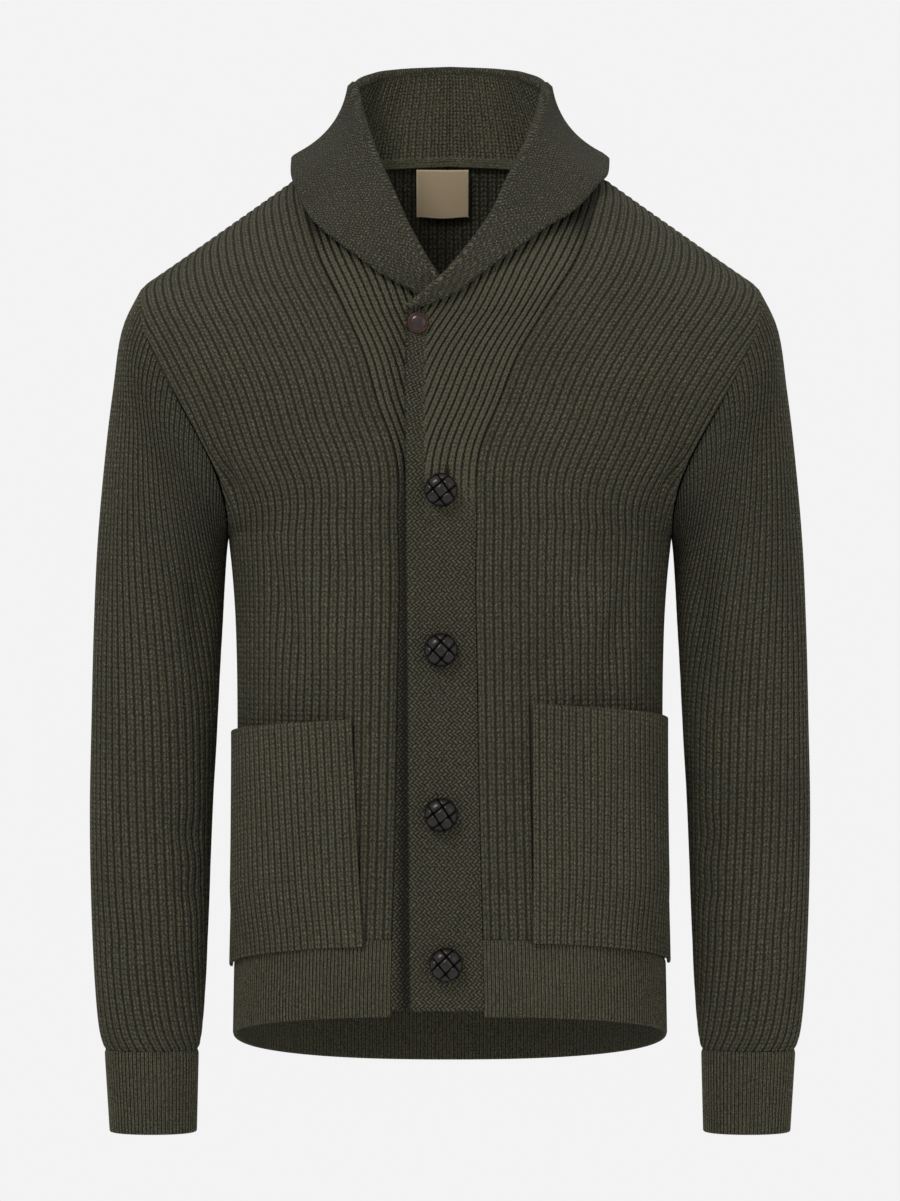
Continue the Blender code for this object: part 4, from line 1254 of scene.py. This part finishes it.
def collar_stations():
    """Fine stations round the neck: the wearer's left, the middle of the back, then the right."""
    coarse = list(COLLAR_PLACES)
    last = len(coarse) - 1
    folds_at = [np.array([smooth(LEFT_FOLD, axis, place) for axis in "xyz"]) for place in coarse]
    folds_at += [np.array([smooth(RIGHT_FOLD, axis, place) for axis in "xyz"])
                 for place in coarse[-2::-1]]
    arounds = unit(np.gradient(np.array(folds_at), axis=0))
    arounds[0], arounds[-1] = (0.0, 0.0, 1.0), (0.0, 0.0, -1.0)
    steps = []
    for k in range(last):
        start, end = coarse[k], coarse[k + 1]
        reach = np.linalg.norm(neck_point(end, 1) - neck_point(start, 1))
        fine = 0.0045 if end <= RIBBED_TO else INSIDE_PITCH / 5
        steps.append(k + np.arange(round(reach / fine)) / round(reach / fine))
    half = np.concatenate(steps)
    spots = np.concatenate([half, [last], 2 * last - half[::-1]])
    stations = []
    for spot in spots:
        around = unit(np.array([np.interp(spot, range(len(arounds)), arounds[:, k])
                                for k in range(3)]))
        place = np.interp(min(spot, 2 * last - spot), range(len(coarse)), coarse)
        stations.append((LEFT_FOLD if spot <= last else RIGHT_FOLD, place,
                         1 if spot <= last else -1, around))
    return stations


def collar_panel():
    """Sections joined round the neck: up the stand, over the fold and down the fall."""
    stations = collar_stations()
    parts = [collar_curve(*station) for station in stations]
    stand_lengths = [lengths_of(part[0])[-1] for part in parts]
    count = int(max(stand_lengths) / STAND_STEP) + 1
    fall_share = spread_rows(0.07, 0.0035, low=NO_STEPS)
    sections, rising = [], []
    for (stand_part, turn_part, fall_part), length in zip(parts, stand_lengths):
        rises = rib_columns(length, STAND_STEP, count, tail=NO_STEPS)
        falls = fall_share * lengths_of(fall_part)[-1]
        pieces, rises_way = lay([stand_part, fall_part], [rises, rises])
        fall_points, falls_way = lay([fall_part], [falls])
        turn_way = np.gradient(np.concatenate([stand_part[-1:], turn_part, fall_part[:1]]), axis=0)
        sections.append(np.concatenate([pieces[0], turn_part[1::2], fall_points[0]]))
        rising.append(np.concatenate([rises_way[0], turn_way[2:-1:2], falls_way[0]]))
    points = np.array(sections).transpose(1, 0, 2)
    upward = unit(np.array(rising).transpose(1, 0, 2))
    rows = climb(points)
    seam = np.array([neck_point(station[1], station[2]) for station in stations])
    seam_run = lengths_of(seam)
    seam_run = seam_run - seam_run[len(seam_run) // 2]
    ways = unit(np.gradient(points, axis=1))
    faces = unit(np.cross(ways, upward))
    place_of = np.array([station[1] for station in stations])
    stand_count = len(points) - len(fall_share) - 3
    on_stand = np.arange(len(points))[:, None] < stand_count
    below_fold = np.array(stand_lengths)[None, :] - rows
    stand_ribs = ribs(rows, STAND_PITCH, STAND_DEPTH) * (on_stand & (below_fold > 0.004))
    stand_ribs = stand_ribs * (1 - ease((place_of - RIBBED_TO) / 0.06))
    across = np.tile(seam_run, (len(points), 1))
    fade = ease((place_of - RIBBED_FROM) / (RIBBED_TO - RIBBED_FROM))
    near_fold = ease(below_fold / 0.005)
    inside_ribs = -ribs(across, INSIDE_PITCH, 0.0017) * on_stand * fade * near_fold
    bold = on_stand * np.ones_like(rows)
    # Inside the stand the collar finish paints the yarn lighter, a painted light.
    inside = fade * near_fold * on_stand
    return knit("collar", points, faces, np.stack([rows, across], axis=-1), BAND_WALL,
                {"foot": "sewn", "top": "free"}, stand_ribs, inside_ribs,
                finishes=("band", "collar"), style=np.stack([bold, inside], axis=-1))


collar_panel()

# %% [markdown]
# ## Pockets
#
# A patch pocket stands off the front at its mouth, where a finer border pulls it in a little, and
# sags round the corners.

# %% Pockets
POCKETS = {
    "left": dict(side=1, top_x=0.0600, foot_x=0.0610, top=-0.4330, foot=-0.6190, rise=0.0066),
    "right": dict(side=-1, top_x=0.0720, foot_x=0.0640, top=-0.4430, foot=-0.6216, rise=0.0040),
}
POCKET_ROOM = 0.0110       # how far a pocket stands off in its middle, and at its edges
POCKET_EDGE = 0.0008
POCKET_FOLDS = {
    "left": [
        ((0.110, -0.110, -0.560), (0.30, 0.0, 1.0), 0.070, 0.020, 0.0030),
        ((0.085, -0.122, -0.480), (0.20, 0.0, 1.0), 0.060, 0.016, 0.0018),
    ],
    "right": [
        ((-0.115, -0.108, -0.570), (-0.25, 0.0, 1.0), 0.070, 0.020, 0.0028),
        ((-0.095, -0.122, -0.490), (-0.30, 0.0, 1.0), 0.060, 0.016, 0.0020),
    ],
}


def pocket_row(size, up):
    """A pocket's row at a share of its height, lifted off the front."""
    side = size["side"]
    level = size["foot"] + (size["top"] - size["foot"]) * up
    row = front_body_row(level, side)
    inner_x = size["foot_x"] + (size["top_x"] - size["foot_x"]) * up
    lengths = lengths_of(row) / lengths_of(row)[-1]
    start = np.interp(inner_x, np.abs(row[:, 0]), lengths)
    places = np.linspace(start, 1.0, 160)
    points = along(row, places)
    out = np.gradient(points, axis=0) @ np.array([[0, 1, 0], [-1, 0, 0], [0, 0, 0]])
    out = unit(-out) * side
    spread = (places - start) / (1 - start)
    points[:, 2] += size["rise"] * ease(up * 2 - 1) * (1 - spread)
    middle = np.sin(math.pi * np.clip(spread * 1.15, 0, 1)) ** 0.8 * ease(up / 0.35)
    room = POCKET_EDGE + POCKET_ROOM * middle + RIB_WALL
    return points + out * room[:, None]


def pocket_panel(side_name):
    size = POCKETS[side_name]
    step = POCKET_PITCH / 6
    rows = [pocket_row(size, up) for up in spread_rows(size["top"] - size["foot"], 0.0060)]
    lengths = [lengths_of(row)[-1] for row in rows]
    count = int(max(lengths) / step) + 1
    columns = [rib_columns(length, step, count) for length in lengths]
    points, ways = lay(rows, columns)
    across = np.array(columns)
    away = edge_distances(points)
    hem_share = ease((away["top"] - 0.0065) / 0.002)
    waved = folds(points, POCKET_FOLDS[side_name])
    return knit("pocket_" + side_name, points, faces_of(points, ways, size["side"]),
                np.stack([across, climb(points)], axis=-1), RIB_WALL,
                {"foot": "free", "top": "free", "start": "free", "end": "free"},
                ribs(across, POCKET_PITCH, 0.0010) * (0.35 + 0.65 * hem_share) + waved, waved,
                finishes=("pocket",))


for side_name in POCKETS:
    pocket_panel(side_name)

# %% [markdown]
# ## Buttons and press stud
#
# The buttons are domes woven from narrow leather strips, over and under, with a wrapped edge. The
# press stud has a dark enamelled cap in a thin copper rim.

# %% Leather and metal
# Painted shade for the weave's grooves, and the lit colour of the strips.
LEATHER_SHADED = (0.0012, 0.0008, 0.0008, 1.0)
LEATHER_LIT = (0.0075, 0.0050, 0.0048, 1.0)


def leather_finish():
    material, tree, shader = material_start("woven_leather")
    place = object_place(tree)
    grain = noise(place, 900.0, 3.0, 0.6)
    strip = map_place(tree, "style")[0]
    # The weave's grooves are painted dark as painted shade; grain adds random tone.
    tone = blend((strip * 0.75 + grain * 0.25).step(0.05, 0.85), LEATHER_SHADED, LEATHER_LIT)
    connect(tone, shader.inputs["Base Color"])
    connect((grain * 0.20 + 0.16).below(0.6), shader.inputs["Roughness"])
    # Metallic in the grooves takes their reflection away, a painted shade.
    connect(1 - strip.step(0.35, 0.80), shader.inputs["Metallic"])
    bump = grain.node("ShaderNodeBump", None, 0, Strength=0.5, Distance=0.0002, Height=grain)
    connect(bump, shader.inputs["Normal"])
    shader.inputs["Specular IOR Level"].default_value = 0.26
    return material


def metal_finish(name, colour, roughness, metallic):
    material, tree, shader = material_start(name)
    place = object_place(tree)
    rub = noise(place, 700.0, 3.0, 0.6)
    dull = tuple(part * 0.55 for part in colour[:3]) + (1.0,)
    connect(blend(rub.step(0.3, 0.7), dull, colour), shader.inputs["Base Color"])
    connect(rub * 0.25 + roughness, shader.inputs["Roughness"])
    shader.inputs["Metallic"].default_value = metallic
    shader.inputs["Specular IOR Level"].default_value = 0.30
    return material


FINISH["leather"] = leather_finish()
FINISH["cap"] = metal_finish("stud_cap", (0.0230, 0.0130, 0.0115, 1.0), 0.10, 0.0)
FINISH["rim"] = metal_finish("stud_rim", (0.0700, 0.0260, 0.0160, 1.0), 0.34, 0.6)
print("finishes:", sorted(FINISH))

# %% Turned pieces
def turned_piece(name, points, style, finishes, split=None, stands_for=True):
    """Close a grid of rings into one solid. Rings past split take the second finish."""
    rows, columns = points.shape[:2]
    shape = bmesh.new()
    bmesh.ops.create_grid(shape, x_segments=columns - 1, y_segments=rows - 1, size=0.5)
    styled = shape.loops.layers.uv.new("style")
    cells = {}
    for vert in shape.verts:
        column = round((vert.co.x + 0.5) * (columns - 1))
        row = round((vert.co.y + 0.5) * (rows - 1))
        cells[vert] = (row, column)
    for face in shape.faces:
        for loop in face.loops:
            loop[styled].uv = style[cells[loop.vert]]
        if split is not None:
            face.material_index = int(max(cells[vert][0] for vert in face.verts) > split)
    for vert, place in cells.items():
        vert.co = points[place]
    bmesh.ops.remove_doubles(shape, verts=shape.verts, dist=1e-6)
    bmesh.ops.recalc_face_normals(shape, faces=shape.faces)
    if shape.calc_volume(signed=True) < 0:
        bmesh.ops.reverse_faces(shape, faces=shape.faces)
    mesh = bpy.data.meshes.new(name)
    shape.to_mesh(mesh)
    shape.free()
    for finish in finishes:
        mesh.materials.append(FINISH[finish])
    mesh.shade_smooth()
    return place_piece(name, mesh, stands_for)


print("turned pieces are closed and smooth")

# %% Woven buttons
STRIPS = 2.6               # strips that cross the dome each way
RINGS = 40
SPOKES = 96
DOME_HEIGHT = 0.0095
TURNS = (38.0, 47.0, 35.0, 42.0)


def weave(x, y, radius):
    """Height of a basket weave at a point of the dome, 0 in its grooves and 1 on a strip."""
    width = 2 * radius / STRIPS
    u, v = x / width + 0.5, y / width + 0.5
    over = (np.floor(u) + np.floor(v)) % 2
    fu, fv = np.abs(u % 1.0 - 0.5) * 2, np.abs(v % 1.0 - 0.5) * 2
    side = np.where(over > 0.5, fu, fv)
    end = np.where(over > 0.5, fv, fu)
    return (1 - side ** 6) * (1 - 0.55 * end ** 3) * (1 - end ** 14)


def button_looks(number, turn):
    """A woven dome on a shank, with its weave turned by so many degrees."""
    low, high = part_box("button_%d" % number)
    middle = (low + high) / 2
    radius = (high[0] - low[0]) / 2
    front, rear = low[1], high[1]
    angles = np.linspace(0, 2 * math.pi, SPOKES + 1)
    tilt = np.linspace(0, math.pi / 2, RINGS)
    rings, style = [], []
    turn = math.radians(turn)
    for angle in tilt:
        r = radius * math.sin(angle)
        x, z = r * np.cos(angles), r * np.sin(angles)
        across = x * math.cos(turn) + z * math.sin(turn)
        along_way = z * math.cos(turn) - x * math.sin(turn)
        raised = weave(across, along_way, radius * 0.94)
        fade = 1 - ease((r / radius - 0.90) / 0.08)
        depth = 0.0019 * (raised - 1) * fade - 0.0003 * (1 - fade)
        flat = DOME_HEIGHT * math.cos(angle) ** 0.85
        rings.append(np.stack([x * (1 + depth / radius), -(flat + depth * math.cos(angle)), z],
                              axis=1))
        # The style value says where the leather is painted as lit strip or as groove in painted
        # shade.
        style.append(np.stack([raised * fade + (1 - fade) * 0.6, np.zeros_like(x)], axis=1))
    back = rear - front - DOME_HEIGHT
    for r, drop in ((0.97, 0.0007), (0.88, 0.0016), (0.25, 0.0016), (0.2, back), (0.0, back)):
        x, z = radius * r * np.cos(angles), radius * r * np.sin(angles)
        rings.append(np.stack([x, np.full_like(x, drop), z], axis=1))
        style.append(np.zeros((len(angles), 2)))
    points = np.array(rings) + np.array([middle[0], front + DOME_HEIGHT, middle[2]])
    return turned_piece("button_%d" % number, points, np.array(style), ("leather",))


for number, turn in enumerate(TURNS, start=1):
    button_looks(number, turn)

# %% [markdown]
# The end of the top buttonhole shows above its button: a short dark slit with two sewn lips.

# %% Sewn yarn
def thread_finish():
    """Dark yarn sewn over and over round the hole."""
    material, tree, shader = material_start("sewn_yarn")
    place = object_place(tree)
    strand = noise(place, 1600.0, 3.0, 0.7)
    connect(blend(strand, YARN_SHADE, (0.0230, 0.0215, 0.0130, 1.0)), shader.inputs["Base Color"])
    bump = strand.node("ShaderNodeBump", None, 0, Strength=1.0, Distance=0.0004, Height=strand)
    connect(bump, shader.inputs["Normal"])
    shader.inputs["Roughness"].default_value = 0.95
    shader.inputs["Specular IOR Level"].default_value = 0.1
    return material


FINISH["thread"] = thread_finish()
print("sewn yarn ready")

# %% Top buttonhole
HOLE_TOP = 0.0185          # above the button's middle
HOLE_FOOT = 0.0110
HOLE_ASIDE = 0.0045
LIP = 0.0011
LEFT_BAND_ROWS = band_points(1)


def band_front_y(x, z):
    """How far forward the left band is, by looking it up on its own rows."""
    nearest = min(LEFT_BAND_ROWS, key=lambda row: abs(row[60, 2] - z))
    order = np.argsort(nearest[:, 0])
    return float(np.interp(x, nearest[order, 0], nearest[order, 1]))


def buttonhole():
    """A closed loop of yarn on the band, pointed at its upper end."""
    low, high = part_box("button_1")
    x, z = (low[0] + high[0]) / 2 + HOLE_ASIDE, (low[2] + high[2]) / 2
    rows = []
    for share in np.arange(25) / 25:
        at = share * 2 * math.pi
        tip = z + (HOLE_TOP + HOLE_FOOT) / 2 - (HOLE_TOP - HOLE_FOOT) / 2 * math.cos(at)
        wide = LIP * 1.1 * math.sin(at) * (0.55 + 0.45 * math.cos(at / 2) ** 2)
        point = np.array([x + wide, 0.0, tip])
        point[1] = band_front_y(point[0], point[2])
        rows.append(point)
    ring = np.linspace(0, 2 * math.pi, 9)
    loops = []
    for k, point in enumerate(rows):
        ahead = unit(rows[(k + 1) % len(rows)] - rows[k - 1] + np.array([0, 0, 1e-7]))
        out = np.array([0.0, -1.0, 0.0])
        side = unit(np.cross(ahead, out))
        knots = 1 + 0.18 * math.sin(k * 2.4)
        loops.append(point + (np.cos(ring)[:, None] * out + np.sin(ring)[:, None] * side)
                     * LIP * 0.75 * knots)
    return np.array(loops + loops[:1])


lips = buttonhole()
turned_piece("buttonhole", lips, np.zeros(lips.shape[:2] + (2,)), ("thread",),
             stands_for=False)

# %% Press stud
low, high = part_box("snap")
middle = (low + high) / 2
stud_radius = (high[0] - low[0]) / 2
stud_height = high[1] - low[1]
angles = np.linspace(0, 2 * math.pi, 73)
profile = [(0.0, 1.00), (0.20, 0.99), (0.40, 0.93), (0.58, 0.82), (0.72, 0.66), (0.80, 0.50),
           (0.82, 0.42), (0.83, 0.50), (0.87, 0.58), (0.92, 0.56), (0.97, 0.42), (1.0, 0.22),
           (1.0, 0.0), (0.0, 0.0)]
rings = [np.stack([stud_radius * r * np.cos(angles), np.full_like(angles, -stud_height * h),
                   stud_radius * r * np.sin(angles)], axis=1) for r, h in profile]
points = np.array(rings) + np.array([middle[0], high[1], middle[2]])
turned_piece("snap", points, np.zeros(points.shape[:2] + (2,)), ("cap", "rim"), 6)

# %% [markdown]
# ## Label and neck tape
#
# The label is a plain woven satin with nothing on it, folded under at its sides and with a paler
# selvage at its foot. A smooth knitted tape covers the seam above it.

# %% Label finish
LABEL_TAN = (0.430, 0.330, 0.205, 1.0)
LABEL_SHADE = (0.200, 0.145, 0.085, 1.0)
LABEL_PALE = (0.560, 0.490, 0.370, 1.0)


def label_finish():
    material, tree, shader = material_start("woven_label")
    across, along = map_place(tree, "cloth")
    warp = ((across / 0.00042).fraction() - 0.5).size() * 2
    weft = ((along / 0.00050).fraction() - 0.5).size() * 2
    place = object_place(tree)
    fleck = noise(place, 1100.0, 2.0, 0.6)
    thread = (1 - warp ** 2) * 0.6 + (1 - weft ** 2) * 0.4
    tone = blend((thread * 0.7 + fleck * 0.3).step(0.0, 0.75), LABEL_SHADE, LABEL_TAN)
    foot = 1 - along.step(0.0011, 0.0016)
    side_fold = 1 - across.below(0.0408 - across).step(0.0009, 0.0015)
    tone = blend(foot.above(side_fold * 0.6) * 0.8, tone, LABEL_PALE)
    connect(tone, shader.inputs["Base Color"])
    bump = thread.node("ShaderNodeBump", None, 0, Strength=0.6, Distance=0.00015, Height=thread)
    connect(bump, shader.inputs["Normal"])
    shader.inputs["Roughness"].default_value = 0.55
    shader.inputs["Sheen Weight"].default_value = 0.15
    return material


FINISH["label"] = label_finish()
print("label finish ready")

# %% Label
TAPE_WALL = 0.0010
ALL_FREE = {"foot": "free", "top": "free", "start": "free", "end": "free"}
LABEL_LEFT = -0.0262
LABEL_RIGHT = 0.0146
LABEL_TOP = -0.0030
LABEL_FOOT = -0.0395


def back_inner(x, z):
    """A point on the inside of the back near the neck."""
    y = np.interp(z, [-0.045, -0.003, 0.006], [0.088, 0.0715, 0.0690])
    return np.array([x, y - 0.010 * (x / 0.06) ** 2 - 0.0032, z])


def label_panel():
    xs = np.linspace(LABEL_LEFT, LABEL_RIGHT, 49)
    zs = np.linspace(LABEL_FOOT, LABEL_TOP, 45)
    points = np.array([[back_inner(x, z) for x in xs] for z in zs])
    across = xs - xs[0]
    up = zs - zs[0]
    sag = 0.0012 * np.sin(math.pi * across / across[-1])[None, :] * (1 - up / up[-1])[:, None]
    points[..., 1] -= sag
    points[..., 2] += (0.0006 * np.cos(2 * math.pi * across / across[-1]))[None, :] \
        * (1 - up / up[-1])[:, None]
    ways = unit(np.gradient(points, axis=1))
    place_map = np.stack(np.meshgrid(across, up), axis=-1)
    return knit("neck_label", points, faces_of(points, ways, 1), place_map, TAPE_WALL,
                ALL_FREE, finishes=("label",), slot="label")


label_panel()

# %% Neck tape
TAPE_PLACES = (1.48, 1.56, 1.66, 1.80, 2.00)
TAPE_WIDTH = 0.0080
TAPE_CLEARANCE = 0.0016


def tape_panel():
    places = np.linspace(TAPE_PLACES[-1], TAPE_PLACES[0], 60)
    half = np.array([neck_point(place, 1) - (BAND_WALL + TAPE_CLEARANCE) * neck_face(place, 1)
                     for place in places])
    middle = np.concatenate([half[:0:-1] * np.array([-1, 1, 1]), half])
    ups = (spread_rows(TAPE_WIDTH, 0.0012, EDGE_STEPS[:3], EDGE_STEPS[:3]) - 0.5) * TAPE_WIDTH
    points = np.array([middle + np.array([0, 0, up]) for up in ups])
    ways = unit(np.gradient(points, axis=1))
    run = lengths_of(middle)
    place_map = np.stack(np.meshgrid(run, ups), axis=-1)
    return knit("neck_tape", points, faces_of(points, ways, 1), place_map, TAPE_WALL,
                ALL_FREE, finishes=("tape",))


tape_panel()

# %% [markdown]
# ## Triangles
#
# The triangles of all the looks are added up.

# %% Count the triangles
print("triangles in all:", sum(made.values()))
